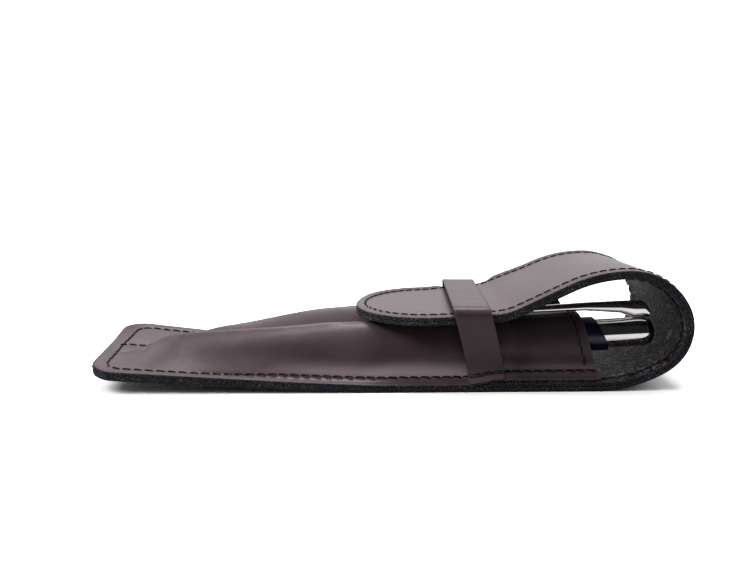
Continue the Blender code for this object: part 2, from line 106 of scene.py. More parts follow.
def through(knots: Sequence[Pair], x: float) -> float:
    """Smooth curve through knots that never swings past them.

    Args:
        knots: Places and values, in order of place.
        x: The place that is asked for.

    Returns:
        The value there, held beyond both ends.
    """
    if x <= knots[0][0]:
        return knots[0][1]
    if x >= knots[-1][0]:
        return knots[-1][1]
    widths = [b[0] - a[0] for a, b in zip(knots, knots[1:])]
    slopes = [(b[1] - a[1]) / width for a, b, width in zip(knots, knots[1:], widths)]
    tangents = [slopes[0]]
    for before, after in zip(slopes, slopes[1:]):
        same_way = before * after > 0
        tangents.append(2 * before * after / (before + after) if same_way else 0.0)
    tangents.append(slopes[-1])
    place = max(i for i in range(len(widths)) if knots[i][0] <= x)
    width = widths[place]
    t = (x - knots[place][0]) / width
    start, end = knots[place][1], knots[place + 1][1]
    return ((2 * t**3 - 3 * t**2 + 1) * start + (t**3 - 2 * t**2 + t) * width * tangents[place]
            + (3 * t**2 - 2 * t**3) * end + (t**3 - t**2) * width * tangents[place + 1])


def soft_corner(points: Sequence[Vector], radius: float, steps: int) -> list[Vector]:
    """Line with its corners rounded.

    Args:
        points: Corners of the line.
        radius: Longest stretch of each side that a rounding takes up.
        steps: Points on each rounding.

    Returns:
        The points of the rounded line.
    """
    line = [points[0]]
    for before, here, after in zip(points, points[1:], points[2:]):
        reach = min(radius, (here - before).length * NEARLY_HALF, (after - here).length * NEARLY_HALF)
        first = here + (before - here).normalized() * reach
        last = here + (after - here).normalized() * reach
        for t in spread(0.0, 1.0, steps):
            line.append(first * (1 - t) ** 2 + here * 2 * t * (1 - t) + last * t * t)
    line.append(points[-1])
    return line


def running_lengths(points: Sequence[Vector]) -> list[float]:
    """Length of a line from its start to each of its points."""
    return list(accumulate(((b - a).length for a, b in zip(points, points[1:])), initial=0.0))


def span_at(lengths: Sequence[float], distance: float) -> tuple[int, float]:
    """Find the span of a line that a distance falls in.

    Args:
        lengths: Length of the line up to each of its points.
        distance: Distance from its start.

    Returns:
        The number of the point before, and the share of the span that is passed.
    """
    low = min(max(bisect_right(lengths, distance) - 1, 0), len(lengths) - 2)
    span = lengths[low + 1] - lengths[low]
    share = (distance - lengths[low]) / span if span > TINY else 0.0
    return low, min(max(share, 0.0), 1.0)


def resample(points: Sequence[Vector], step: float) -> list[Vector]:
    """Points at an even distance along a line.

    Args:
        points: The line.
        step: About how far apart the new points are.

    Returns:
        The new points, with both ends kept.
    """
    lengths = running_lengths(points)
    count = max(2, round(lengths[-1] / step) + 1)
    result = []
    for wanted in spread(0.0, lengths[-1], count):
        low, share = span_at(lengths, wanted)
        result.append(points[low].lerp(points[low + 1], share))
    return result


# Shader graphs


class Kind(Enum):
    """What a socket carries, which decides the nodes that its maths uses."""

    VALUE = "value"
    VECTOR = "vector"
    COLOUR = "colour"


class Signal:
    """Output socket of a shader graph, with the arithmetic that the finishes use."""

    def __init__(self, graph: "Graph", socket: bpy.types.NodeSocket, kind: Kind = Kind.VALUE) -> None:
        """Wrap a socket.

        Args:
            graph: The graph that it belongs to.
            socket: The output socket.
            kind: What it carries.
        """
        self.graph = graph
        self.socket = socket
        self.kind = kind

    def _join(self, operation: str, first: "Signal | float", second: "Signal | float") -> "Signal":
        """Add the node that works out an operation on two values.

        Args:
            operation: Blender's name of the operation.
            first: The first value.
            second: The second value.

        Returns:
            The result.
        """
        vector = self.kind is Kind.VECTOR
        name = "ShaderNodeVectorMath" if vector else "ShaderNodeMath"
        return self.graph.node(name, {"operation": operation}, {0: first, 1: second},
                               kind=Kind.VECTOR if vector else Kind.VALUE)

    def __add__(self, other: "Signal | float") -> "Signal":
        """Sum."""
        return self._join("ADD", self, other)

    __radd__ = __add__

    def __sub__(self, other: "Signal | float") -> "Signal":
        """Difference."""
        return self._join("SUBTRACT", self, other)

    def __rsub__(self, other: "Signal | float") -> "Signal":
        """Difference the other way round."""
        return self._join("SUBTRACT", other, self)

    def __mul__(self, other: "Signal | float") -> "Signal":
        """Product."""
        return self._join("MULTIPLY", self, other)

    __rmul__ = __mul__

    def larger(self, other: "Signal | float") -> "Signal":
        """The larger of two values."""
        return self._join("MAXIMUM", self, other)

    def dot(self, way: Place) -> "Signal":
        """Dot product with a fixed vector."""
        return self.graph.node("ShaderNodeVectorMath", {"operation": "DOT_PRODUCT"}, {0: self, 1: way},
                               output="Value")

    def above(self, low: float, high: float) -> "Signal":
        """Smooth 0 to 1 as the value goes from low to high."""
        return self.graph.node("ShaderNodeMapRange", {"interpolation_type": "SMOOTHSTEP"},
                               {"Value": self, "From Min": low, "From Max": high})


class Graph:
    """Node tree of one material or of the world."""

    def __init__(self, owner: bpy.types.Material | bpy.types.World) -> None:
        """Empty the owner's node tree and keep it.

        Args:
            owner: The material or the world.
        """
        owner.use_nodes = True
        self.owner = owner
        self.tree = owner.node_tree
        self.tree.nodes.clear()

    def node(self, name: str, settings: dict | None = None, sockets: dict | None = None,
             output: int | str = 0, kind: Kind = Kind.VALUE) -> Signal:
        """Add any node.

        Args:
            name: Blender's name of the node's type.
            settings: The node's own settings, which are set first.
            sockets: Values or links of its inputs, by name or number.
            output: The output that is wanted.
            kind: What that output carries.

        Returns:
            The output.
        """
        item = self.tree.nodes.new(name)
        for key, value in (settings or {}).items():
            setattr(item, key, value)
        for key, value in (sockets or {}).items():
            socket = item.inputs[key]
            if isinstance(value, Signal):
                self.tree.links.new(value.socket, socket)
            elif socket.type == "RGBA":
                socket.default_value = (*value, 1.0)
            else:
                socket.default_value = value
        return Signal(self, item.outputs[output], kind)

    def mix(self, factor: Signal | float, first: Signal | Colour, second: Signal | Colour) -> Signal:
        """Colour between two others."""
        return self.node("ShaderNodeMix", {"data_type": "RGBA"}, {0: factor, 6: first, 7: second},
                         output=2, kind=Kind.COLOUR)

    def rest_place(self) -> Signal:
        """Place on the piece at rest, in metres, which stays with the leather as it bends."""
        return self.node("ShaderNodeAttribute", {"attribute_name": "rest"}, output="Vector", kind=Kind.VECTOR)

    def mark(self, name: str) -> Signal:
        """Share that each point of a piece carries under a name."""
        return self.node("ShaderNodeAttribute", {"attribute_name": name}, output="Fac")

    def noise(self, place: Signal, size: float, detail: float = 2.0, roughness: float = 0.5,
              distortion: float = 0.0) -> Signal:
        """Cloudy noise.

        Args:
            place: Place on the piece.
            size: About how far across its blotches are, in metres.
            detail: How many finer layers it has.
            roughness: How strong these are.
            distortion: How far it swirls.

        Returns:
            The noise, from 0 to 1.
        """
        return self.node("ShaderNodeTexNoise", {}, {
            "Vector": place, "Scale": 1.0 / size, "Detail": detail, "Roughness": roughness,
            "Distortion": distortion})

    def cells(self, place: Signal, size: float) -> Signal:
        """Distance inside cells that are about a size across, in metres."""
        return self.node("ShaderNodeTexVoronoi", {"feature": "F1"}, {"Vector": place, "Scale": 1.0 / size})

    def bump(self, height: Signal, distance: float, under: Signal | None = None) -> Signal:
        """Normal of a surface that a height field roughens.

        Args:
            height: The height field, from 0 to 1.
            distance: How far 1 stands over 0, in metres.
            under: A bump that this one lies on.

        Returns:
            The normal.
        """
        sockets = {"Height": height, "Distance": distance}
        if under is not None:
            sockets["Normal"] = under
        return self.node("ShaderNodeBump", {}, sockets, kind=Kind.VECTOR)

    def surface(self, sockets: dict) -> None:
        """Close the graph with one Principled shader."""
        self.close(self.node("ShaderNodeBsdfPrincipled", {}, sockets))

    def close(self, shader: Signal) -> None:
        """Send a shader to the output.

        Args:
            shader: The shader.
        """
        owner = "World" if isinstance(self.owner, bpy.types.World) else "Material"
        item = self.tree.nodes.new(f"ShaderNodeOutput{owner}")
        self.tree.links.new(shader.socket, item.inputs["Surface"])


def new_graph(name: str) -> Graph:
    """Graph of a new material."""
    return Graph(bpy.data.materials.new(name))


# Finishes


@dataclass(frozen=True)
class HideFinish:
    """Smooth brown hide: fine grain, cloudily dyed colour, a worn lip along its cut edge, and painted light
    and painted shade that its foot mark sets.
    """

    name: str
    slot: str
    colour: Colour = (0.086, 0.056, 0.064)
    lip: Colour = (0.108, 0.073, 0.081)
    # The next two colours are painted light and painted shade, which the foot mark mixes in.
    painted_light_colour: Colour = (0.405, 0.318, 0.332)
    painted_shade_colour: Colour = (0.026, 0.016, 0.019)
    cloud_levels: Pair = (0.86, 1.16)
    roughness: float = 0.31
    specular: float = 0.36
    cloud: float = 9 * MM
    grain: float = 0.42 * MM
    pore_depth: float = 0.012 * MM
    wave: float = 5 * MM
    wave_depth: float = 0.10 * MM

    def build(self) -> bpy.types.Material:
        """Build the material.

        Returns:
            The material.
        """
        graph = new_graph(self.name)
        place = graph.rest_place()
        rim, foot = graph.mark("rim"), graph.mark("foot")
        # pale is the share of painted light, where the foot mark is above 0.
        pale = foot.above(0.0, 1.0)
        clouds = graph.noise(place, self.cloud, detail=3.0)
        fine = graph.noise(place, self.grain * 0.6, detail=3.0, roughness=0.6)
        pores = graph.cells(place, self.grain)
        dark, light = (tuple(channel * level for channel in self.colour) for level in self.cloud_levels)
        dyed = graph.mix(clouds.above(0.3, 0.7), dark, light)
        flecked = graph.mix(fine.above(0.60, 0.75) * 0.25, dyed, light)
        # Painted shade where the foot mark is below 0, then painted light where it is above 0.
        rubbed_and_painted_shade = graph.mix((foot * -1.0).above(0.0, 1.0), flecked, self.painted_shade_colour)
        painted_light_colour = graph.mix(pale * (0.70 + 0.5 * fine), rubbed_and_painted_shade, self.painted_light_colour)
        worn = graph.mix(rim * (0.30 + 0.3 * fine), painted_light_colour, self.lip)
        rough = self.roughness + 0.10 * (clouds - 0.5) + 0.10 * (fine - 0.5) + 0.18 * rim + 0.12 * pale
        grain = graph.bump(pores.above(0.0, 0.6), self.pore_depth)
        skin = graph.bump(fine, self.pore_depth * 0.8, under=grain)
        waves = graph.bump(graph.noise(place, self.wave), self.wave_depth, under=skin)
        graph.surface({"Base Color": worn, "Roughness": rough, "Normal": waves,
                       "Specular IOR Level": self.specular})
        return graph.owner


@dataclass(frozen=True)
class LiningFinish:
    """Dark inner leather, wrinkled finely where it is pressed together in the bend, with painted light on the
    wrinkle crests and painted shade in the folds.
    """

    name: str = "wrinkled_lining"
    slot: str = "dark_lining"
    colour: Colour = (0.005, 0.003, 0.005)
    # crest is painted light on the wrinkle crests; the near-black colour is painted shade in the folds.
    crest: Colour = (0.290, 0.228, 0.240)
    roughness: float = 0.50
    specular: float = 0.18
    wrinkle: float = 1.9 * MM
    wrinkle_depth: float = 0.35 * MM
    grain: float = 0.28 * MM
    grain_depth: float = 0.02 * MM
    cloud: float = 9 * MM

    def build(self) -> bpy.types.Material:
        """Build the material.

        Returns:
            The material.
        """
        graph = new_graph(self.name)
        place = graph.rest_place()
        swirl = graph.noise(place, self.wrinkle, detail=4.0, roughness=0.62, distortion=1.6)
        fine = graph.noise(place, self.grain)
        clouds = graph.noise(place, self.cloud)
        ridges = swirl.above(0.44, 0.60)
        # Painted light on the wrinkle crests over painted shade in the folds.
        coloured = graph.mix(ridges * (0.26 + 0.46 * clouds.above(0.36, 0.66)), self.colour, self.crest)
        rough = self.roughness + 0.16 * (fine - 0.5) + 0.10 * (0.5 - ridges)
        folds = graph.bump(ridges, self.wrinkle_depth)
        graph.surface({"Base Color": coloured, "Roughness": rough,
                       "Normal": graph.bump(fine, self.grain_depth, under=folds),
                       "Specular IOR Level": self.specular})
        return graph.owner


@dataclass(frozen=True)
class RawEdgeFinish:
    """Cut edge of the leather: inked black, fibrous, with pale specks of bare fibre and dust."""

    name: str = "raw_edge"
    slot: str = "brown_hide"
    ink: Colour = (0.004, 0.004, 0.007)
    fibre: Colour = (0.150, 0.150, 0.190)
    dust: Colour = (0.42, 0.39, 0.40)
    dustiness: float = 0.75
    roughness: float = 0.85
    specular: float = 0.2
    fibre_size: float = 0.30 * MM
    fibre_depth: float = 0.16 * MM
    speck: float = 0.34 * MM
    patch: float = 9 * MM

    def build(self) -> bpy.types.Material:
        """Build the material.

        Returns:
            The material.
        """
        graph = new_graph(self.name)
        place = graph.rest_place()
        fibres = graph.noise(place, self.fibre_size, detail=4.0, roughness=0.7)
        specks = graph.noise(place, self.speck, detail=1.0)
        patches = graph.noise(place, self.patch)
        inked = graph.mix(fibres.above(0.47, 0.64) * 0.9, self.ink, self.fibre)
        dusty = specks.above(0.65, 0.70) * patches.above(0.42, 0.60)
        graph.surface({"Base Color": graph.mix(dusty * self.dustiness, inked, self.dust),
                       "Roughness": self.roughness, "Normal": graph.bump(fibres, self.fibre_depth),
                       "Specular IOR Level": self.specular})
        return graph.owner


@dataclass(frozen=True)
class ThreadFinish:
    """Waxed black thread."""

    name: str = "waxed_thread"
    slot: str = "brown_hide"
    colour: Colour = (0.006, 0.004, 0.005)
    shine: Colour = (0.022, 0.016, 0.018)
    roughness: float = 0.60
    specular: float = 0.2
    fibre_size: float = 0.12 * MM
    fibre_depth: float = 0.03 * MM

    def build(self) -> bpy.types.Material:
        """Build the material.

        Returns:
            The material.
        """
        graph = new_graph(self.name)
        fibres = graph.noise(graph.rest_place(), self.fibre_size, detail=3.0)
        graph.surface({"Base Color": graph.mix(fibres.above(0.45, 0.7), self.colour, self.shine),
                       "Roughness": self.roughness + 0.3 * (fibres - 0.5),
                       "Normal": graph.bump(fibres, self.fibre_depth), "Specular IOR Level": self.specular})
        return graph.owner


@dataclass(frozen=True)
class PolishFinish:
    """Polished metal, lacquer or plastic, with faint handling marks."""

    name: str
    slot: str
    colour: Colour
    roughness: float
    metallic: float = 0.0
    rubbed_level: float = 1.12
    mark_size: float = 2.5 * MM
    mark_depth: float = 0.004 * MM

    def build(self) -> bpy.types.Material:
        """Build the material.

        Returns:
            The material.
        """
        graph = new_graph(self.name)
        marks = graph.noise(graph.rest_place(), self.mark_size, detail=4.0, roughness=0.6)
        rubbed_and_painted_shade = tuple(min(1.0, channel * self.rubbed_level) for channel in self.colour)
        graph.surface({"Base Color": graph.mix(marks.above(0.35, 0.7), self.colour, rubbed_and_painted_shade),
                       "Roughness": self.roughness + 0.05 * marks.above(0.45, 0.75),
                       "Metallic": self.metallic, "Normal": graph.bump(marks, self.mark_depth)})
        return graph.owner


class Finish(Enum):
    """Finishes of the case and the pen."""

    HIDE = HideFinish("brown_hide_finish", "brown_hide")
    MOULDED = HideFinish("moulded_hide_finish", "moulded_hide", roughness=0.36)
    STRAP = HideFinish("strap_hide_finish", "strap_hide", colour=(0.070, 0.041, 0.047), roughness=0.34)
    LINING = LiningFinish()
    EDGE = RawEdgeFinish()
    THREAD = ThreadFinish()
    CHROME = PolishFinish("chrome_finish", "polished_chrome", (0.80, 0.78, 0.78), 0.05, metallic=1.0)
    NAVY = PolishFinish("navy_finish", "navy_lacquer", (0.006, 0.006, 0.030), 0.30)
    BLACK = PolishFinish("black_finish", "black_plastic", (0.010, 0.010, 0.012), 0.22)

    def material(self) -> bpy.types.Material:
        """The finish's material, built the first time that it is asked for."""
        return bpy.data.materials.get(self.value.name) or self.value.build()


# Meshes


@dataclass
class MeshDraft:
    """Points and faces of a piece before it becomes a Blender object."""

    points: list[Vector] = field(default_factory=list)
    rims: list[float] = field(default_factory=list)
    # feet holds each point's painted light above 0 and painted shade below 0.
    feet: dict[int, float] = field(default_factory=dict)
    faces: list[tuple[int, ...]] = field(default_factory=list)
    looks: list[int] = field(default_factory=list)

    def point(self, place: Vector, rim: float = 0.0) -> int:
        """Add a point.

        Args:
            place: Where it is.
            rim: How near a cut edge it is, from 0 to 1.

        Returns:
            Its number.
        """
        self.points.append(place)
        self.rims.append(rim)
        return len(self.points) - 1

    def face(self, corners: tuple[int, ...], look: int = 0) -> None:
        """Add a face with a material's number."""
        self.faces.append(corners)
        self.looks.append(look)

    def grid(self, rows: Sequence[Sequence[int]], look: int = 0) -> None:
        """Add the faces between rows of points.

        Args:
            rows: The rows, with as many points in each.
            look: Number of the faces' material.
        """
        for low, high in zip(rows, rows[1:]):
            for corners in zip(low, low[1:], high[1:], high):
                self.face(corners, look)

    def tube(self, rings: Sequence[list[int]], inward: bool = False) -> None:
        """Add the faces of a closed round body.

        Args:
            rings: Rings of points from one end to the other.
            inward: True where the rings run the other way round.
        """
        for low, high in zip(rings, rings[1:]):
            for a, b, c, d in zip(low, low[1:] + low[:1], high[1:] + high[:1], high):
                self.face((b, a, d, c) if inward else (a, b, c, d))
        self.face(tuple(rings[0] if inward else rings[0][::-1]))
        self.face(tuple(rings[-1][::-1] if inward else rings[-1]))

    def build(self, name: str, finishes: Sequence[Finish], sharp: float = 42.0) -> bpy.types.Object:
        """Make the object.

        Args:
            name: The piece's name.
            finishes: Its finishes, in the order of the faces' numbers.
            sharp: Angle in degrees from which an edge isn't shaded smooth.

        Returns:
            The object, in place.
        """
        mesh = bpy.data.meshes.new(name)
        mesh.from_pydata([tuple(point) for point in self.points], [], self.faces)
        mesh.polygons.foreach_set("material_index", self.looks)
        rest = mesh.attributes.new("rest", "FLOAT_VECTOR", "POINT")
        rest.data.foreach_set("vector", [value for point in self.points for value in point])
        rim = mesh.attributes.new("rim", "FLOAT", "POINT")
        rim.data.foreach_set("value", self.rims)
        # The foot mark carries painted light above 0 and painted shade below 0.
        if self.feet:
            foot = mesh.attributes.new("foot", "FLOAT", "POINT")
            foot.data.foreach_set("value", [self.feet.get(i, 0.0) for i in range(len(self.points))])
        for finish in finishes:
            mesh.materials.append(finish.material())
        mesh.shade_smooth()
        mesh.set_sharp_from_angle(angle=math.radians(sharp))
        mesh.update()
        item = bpy.data.objects.new(name, mesh)
        bpy.context.scene.collection.objects.link(item)
        return item


@dataclass(frozen=True)
class CutRow:
    """One row across a sheet: where it is, half its width and which way its cut edge faces."""

    along: float
    half: float
    out_along: float = 0.0
    out_across: float = 1.0

    def inside(self, inset: float) -> Pair:
        """Place along and half the width, at a distance in from the cut edge."""
        return self.along - inset * self.out_along, self.half - inset * self.out_across


@dataclass(frozen=True)
class Level:
    """One line along a cut edge: how far in and how deep it is, and how fibrous."""

    inset: float
    depth: float
    fray: float = 0.0


EDGE_SHAPE = ((1.0, 0.0, 0.0), (0.35, 0.10, 0.0), (0.08, 0.22, 0.6), (0.0, 0.42, 1.0), (0.02, 0.62, 1.0),
              (0.08, 0.82, 0.8), (0.30, 0.94, 0.2), (0.8, 1.0, 0.0))


def edge_levels(thickness: float, arris: float) -> list[Level]:
    """Lines along a cut edge from the outer face to the inner one.

    Args:
        thickness: Thickness of the leather.
        arris: How far the worn corner of the outer face reaches in.

    Returns:
        The lines, outer one first.
    """
    return [Level(inset * arris, depth * thickness, fray) for inset, depth, fray in EDGE_SHAPE]


def groove(off: float, depth: float = 0.16 * MM, width: float = 0.42 * MM) -> float:
    """Depth of the furrow that the thread presses, at a distance off a seam."""
    return depth * math.exp(-(off / width) ** 2) if abs(off) < 3 * width else 0.0


class Sheet:
    """Closed sheet of leather with a fibrous cut edge all round."""

    fray_size = 0.45 * MM
    fray_depth = 0.09 * MM
    rim_width = 0.75 * MM

    def row_points(self, row: CutRow, inset: float, depth: float) -> list[Vector]:
        """Points across the sheet on a row."""
        raise NotImplementedError

    def edge_point(self, row: CutRow, side: int, inset: float, depth: float) -> Vector:
        """Point on one cut edge of a row."""
        raise NotImplementedError

    def rim_of(self, row: CutRow, point: Vector) -> float:
        """How near the cut edge a point is, from 0 well inside to 1 on the edge."""
        raise NotImplementedError

    def fray(self, place: Vector, level: Level) -> float:
        """Distance that the fibres of a cut edge stand in or out by."""
        return level.fray * self.fray_depth * noise.noise(place / self.fray_size) if level.fray else 0.0

    def draft(self, rows: Sequence[CutRow], levels: Sequence[Level],
              looks: tuple[int, int, int]) -> MeshDraft:
        """Mesh of the sheet.

        Args:
            rows: Rows along the sheet, the first and the last of which are closed.
            levels: Lines along its cut edge.
            looks: Material numbers of the outer face, the cut edge and the inner face.

        Returns:
            The mesh.
        """
        mesh = MeshDraft()
        top, bottom = levels[0], levels[-1]
        faces = {}
        for level in (top, bottom):
            faces[level] = [[mesh.point(point, self.rim_of(row, point)) for point in
                             self.row_points(row, level.inset, level.depth)] for row in rows]
        mesh.grid(faces[top], looks[0])
        mesh.grid([line[::-1] for line in faces[bottom]], looks[2])
        sides = {}
        for side, column in ((-1, 0), (1, -1)):
            lines = []
            for i, row in enumerate(rows):
                line = [faces[top][i][column]]
                for level in levels[1:-1]:
                    rough = self.fray(self.edge_point(row, side, level.inset, level.depth), level)
                    point = self.edge_point(row, side, level.inset - rough, level.depth)
                    line.append(mesh.point(point, 1.0))
                line.append(faces[bottom][i][column])
                lines.append(line)
            sides[side] = lines
            for low, high in zip(lines, lines[1:]):
                for k in range(len(levels) - 1):
                    look = looks[0] if k == 0 else looks[1]
                    corners = (low[k], high[k], high[k + 1], low[k + 1])
                    mesh.face(corners if side < 0 else corners[::-1], look)
        for i, row, flip in ((0, rows[0], False), (-1, rows[-1], True)):
            lines = [faces[top][i]]
            for k, level in enumerate(levels[1:-1], start=1):
                places = self.row_points(row, level.inset, level.depth)
                line = [sides[-1][i][k]]
                for place in places[1:-1]:
                    shift = Vector((row.out_along * self.fray(place, level), 0.0, 0.0))
                    line.append(mesh.point(place + shift, 1.0))
                line.append(sides[1][i][k])
                lines.append(line)
            lines.append(faces[bottom][i])
            for k, (low, high) in enumerate(zip(lines, lines[1:])):
                look = looks[0] if k == 0 else looks[1]
                for a, b, c, d in zip(low, low[1:], high[1:], high):
                    mesh.face((a, b, c, d) if flip else (d, c, b, a), look)
        return mesh


# The case's shape


class StripLine:
    """Outer face of the strip seen from the front, as arcs and straight runs that join smoothly."""

    def __init__(self, start: Pair, runs: Sequence[Pair]) -> None:
        """Lay the runs end to end.

        Args:
            start: Where the line starts, level and heading along the case.
            runs: Lengths and curvatures.
        """
        self.runs = []
        point, heading = Vector(start), 0.0
        for length, curvature in runs:
            self.runs.append((length, curvature, point, heading))
            point, heading = self._along(point, heading, curvature, length)
        self.length = sum(run[0] for run in self.runs)
        self.end_height = point.y

    @staticmethod
    def _along(point: Vector, heading: float, curvature: float, distance: float) -> tuple[Vector, float]:
        """Follow one run.

        Args:
            point: Where the run starts.
            heading: The way that it points there.
            curvature: How fast it turns.
            distance: How far to go.

        Returns:
            Place and heading there.
        """
        if abs(curvature) < TINY:
            return point + Vector((math.cos(heading), math.sin(heading))) * distance, heading
        turned = heading + curvature * distance
        step = Vector((math.sin(turned) - math.sin(heading), math.cos(heading) - math.cos(turned)))
        return point + step / curvature, turned

    def at(self, distance: float) -> tuple[Vector, float]:
        """Follow the whole line.

        Args:
            distance: Distance from its start.

        Returns:
            Place and heading there.
        """
        left = distance
        for length, curvature, point, heading in self.runs:
            if left <= length:
                return self._along(point, heading, curvature, left)
            left -= length
        return self._along(point, heading, curvature, length)

    def where_heading(self, wanted: float) -> float:
        """Find where the line points a given way.

        Args:
            wanted: The heading.

        Returns:
            Distance at which the line first has it.
        """
        passed = 0.0
        for length, curvature, _, heading in self.runs:
            if curvature > 0 and heading <= wanted <= heading + curvature * length:
                return passed + (wanted - heading) / curvature
            passed += length
        raise ValueError("the strip never points that way")
@dataclass
class CaseForm:
    """Sizes and curves that the pieces of the case share, in metres and radians.

    The arcs are radii in millimetres with turns in degrees, and the folds are headings in degrees.
    """

    hide: float = 1.3 * MM
    lining: float = 1.2 * MM
    panel: float = 1.3 * MM
    strap: float = 1.3 * MM
    gap: float = 0.3 * MM
    pen_length: float = 137.8 * MM
    pen_radius: float = 5.0 * MM
    pen_shoulder_radius: float = 3.3 * MM
    pen_taper_from_end: float = 85.0 * MM
    pen_nose_length: float = 17.0 * MM
    pen_tip_length: float = 3.8 * MM
    pen_tip_radius: float = 0.6 * MM
    pen_tilt: float = math.radians(2.8)
    pen_height: float = 13.7 * MM
    centre_land: float = 5.0 * MM
    side_ease: float = 0.6 * MM
    rooms: tuple[float, float, float, float] = (0.1 * MM, 0.08 * MM, 0.5 * MM, 2.0 * MM)
    seam_flange: float = 4.1 * MM
    end_flange: float = 11.1 * MM
    tip_room: float = 9.5 * MM
    end_room: float = 4.6 * MM
    foot_fillet: float = 0.8 * MM
    mouth_rake: float = 4.4 * MM
    rake_length: float = 16.0 * MM
    sag: float = 0.30
    sag_length: float = 42.0 * MM
    drift: float = 3.2 * MM
    drift_length: float = 32.0 * MM
    arcs: tuple[Pair, ...] = ((36.0, 32.0), (14.0, 88.0), (20.0, 60.0), (40.0, 26.0))
    trough_radius: float = 16.9 * MM
    tongue_fall: float = math.radians(2.0)
    tongue_length: float = 36.7 * MM
    tongue_clearance: float = 0.6 * MM
    tongue_twist: float = 0.9 * MM
    twist_length: float = 16.0 * MM
    folds: tuple[float, ...] = (22.5, 67.5, 112.5, 157.5)
    corner_radius: float = 7.5 * MM
    curl_length: float = 79.0 * MM
    curl_height: float = 4.2 * MM
    curl_power: float = 1.25
    twist_height: float = 2.4 * MM
    skew: float = 1.3 * MM
    skew_length: float = 30.0 * MM
    lining_tuck: float = 29.0 * MM
    lining_step: float = 8.0 * MM
    strap_from_mouth: float = 31.5 * MM
    rim_lift: float = 0.75 * MM
    rim_reach: float = 2.9 * MM
    rim_before_curl: Stretch = Stretch(end=34.0, fall=12.0)
    rim_past_mouth: Stretch = Stretch(0.0, 20.0)
    rim_from_middle: float = 0.1
    rim_growth: float = 0.7
    under_strap: Stretch = Stretch(end=9.5, fall=3.0)
    strap_flattens: float = 0.8
    hump: Stretch = Stretch(44.0, 14.0, 96.0, 16.0)
    hump_sink: float = 1.15 * MM
    near_sink: float = 0.35 * MM
    corner_steps: int = 22

    def __post_init__(self) -> None:
        """Work out the sizes that follow from the others."""
        self.both = self.hide + self.gap + self.lining
        self.tunnel_half = self.pen_radius + self.gap + self.panel + self.side_ease
        self.tunnel_y = self.centre_land / 2 + self.tunnel_half
        self.foot_y = self.tunnel_y + self.tunnel_half
        self.half_width = self.foot_y + self.seam_flange
        reach = self.pen_length * math.cos(self.pen_tilt)
        case_length = self.end_flange + self.tip_room + reach + self.end_room + self.both
        low, end = [(radius * MM, math.radians(turn)) for radius, turn in self.arcs[:2]]
        self.back_end = -case_length / 2
        self.mouth_x = case_length / 2 - low[0] * math.sin(low[1]) - end[0] * (1 - math.sin(low[1]))
        self.pen_end_x = case_length / 2 - self.both - self.end_room
        self.pen_tip_x = self.pen_end_x - reach
        self.tunnel_start = self.back_end + self.end_flange
        self.lining_end = self.mouth_x - self.lining_tuck
        self.crest_knots = self._crest_knots()
        self.line = self._strip_line()
        self.length = self.mouth_x + self.line.length

    def _crest_knots(self) -> list[Pair]:
        """Work out where the full tunnel's ridge runs.

        Returns:
            Places and heights that it goes through.
        """
        taper_x = self.pen_end_x - self.pen_taper_from_end
        nose_x = self.pen_tip_x + self.pen_tip_length + self.pen_nose_length
        mouth, taper, nose, tip = self.rooms
        over_pen = ((self.pen_tip_x, self.pen_tip_radius, tip),
                    (nose_x, self.pen_shoulder_radius, nose),
                    ((taper_x + nose_x) / 2, (self.pen_radius + self.pen_shoulder_radius) / 2,
                     (taper + nose) / 2),
                    (taper_x, self.pen_radius, taper),
                    (self.mouth_x, self.pen_radius, mouth))
        start_height = self.flange_top(self.tunnel_start) + self.curl(self.tunnel_start, -self.tunnel_y)
        knots = [(self.tunnel_start, start_height)]
        for x, radius, room in over_pen:
            knots.append((x, self.pen_axis_height(x) + radius + self.gap + self.panel + room))
        return knots

    def _strip_line(self) -> StripLine:
        """Lay the strip's line beyond the mouth, with its tongue just over the full tunnel.

        Returns:
            The line.
        """
        turns = [(radius * MM * math.radians(turn), 1 / (radius * MM)) for radius, turn in self.arcs]
        shoulder = StripLine((self.mouth_x, 0.0), turns).end_height
        tongue = self.crest(self.mouth_x - self.strap_from_mouth) + self.tongue_clearance + self.both
        heading = math.radians(sum(turn for _, turn in self.arcs)) - math.pi
        fall = self.trough_radius * (math.cos(self.tongue_fall) - math.cos(heading))
        slope = (shoulder - tongue - fall) / math.sin(heading)
        trough = (self.trough_radius * (heading - self.tongue_fall), -1 / self.trough_radius)
        return StripLine((self.mouth_x, 0.0), turns + [(slope, 0.0), trough, (self.tongue_length, 0.0)])

    def across(self, y: float) -> float:
        """Share of the case's width that lies nearer than a place."""
        return (y + self.half_width) / (2 * self.half_width)

    def curl(self, x: float, y: float) -> float:
        """Height that the free end of the back has curled up by."""
        along = max(0.0, (self.back_end + self.curl_length - x) / self.curl_length)
        return self.curl_height * along**self.curl_power + self.twist_height * along**2 * self.across(y)

    def end_skew(self, x: float, y: float) -> float:
        """Distance that the free end is cut back by, because it isn't quite square."""
        return self.skew * (1 - ease((x - self.back_end) / self.skew_length)) * self.across(y)

    def lining_share(self, x: float) -> float:
        """How much of the lining's thickness lies under the panel's edge."""
        return ease((x - self.lining_end + self.lining_step) / self.lining_step)

    def flange_top(self, x: float) -> float:
        """Height of the panel's sewn edge before curl."""
        return self.hide + self.gap + self.panel + (self.lining + self.gap) * self.lining_share(x)

    def pen_axis_height(self, x: float) -> float:
        """Height of the pen's axis."""
        return self.pen_height + (x - self.mouth_x) * math.tan(self.pen_tilt)

    def crest(self, x: float) -> float:
        """Height of the full tunnel's ridge."""
        return through(self.crest_knots, x)

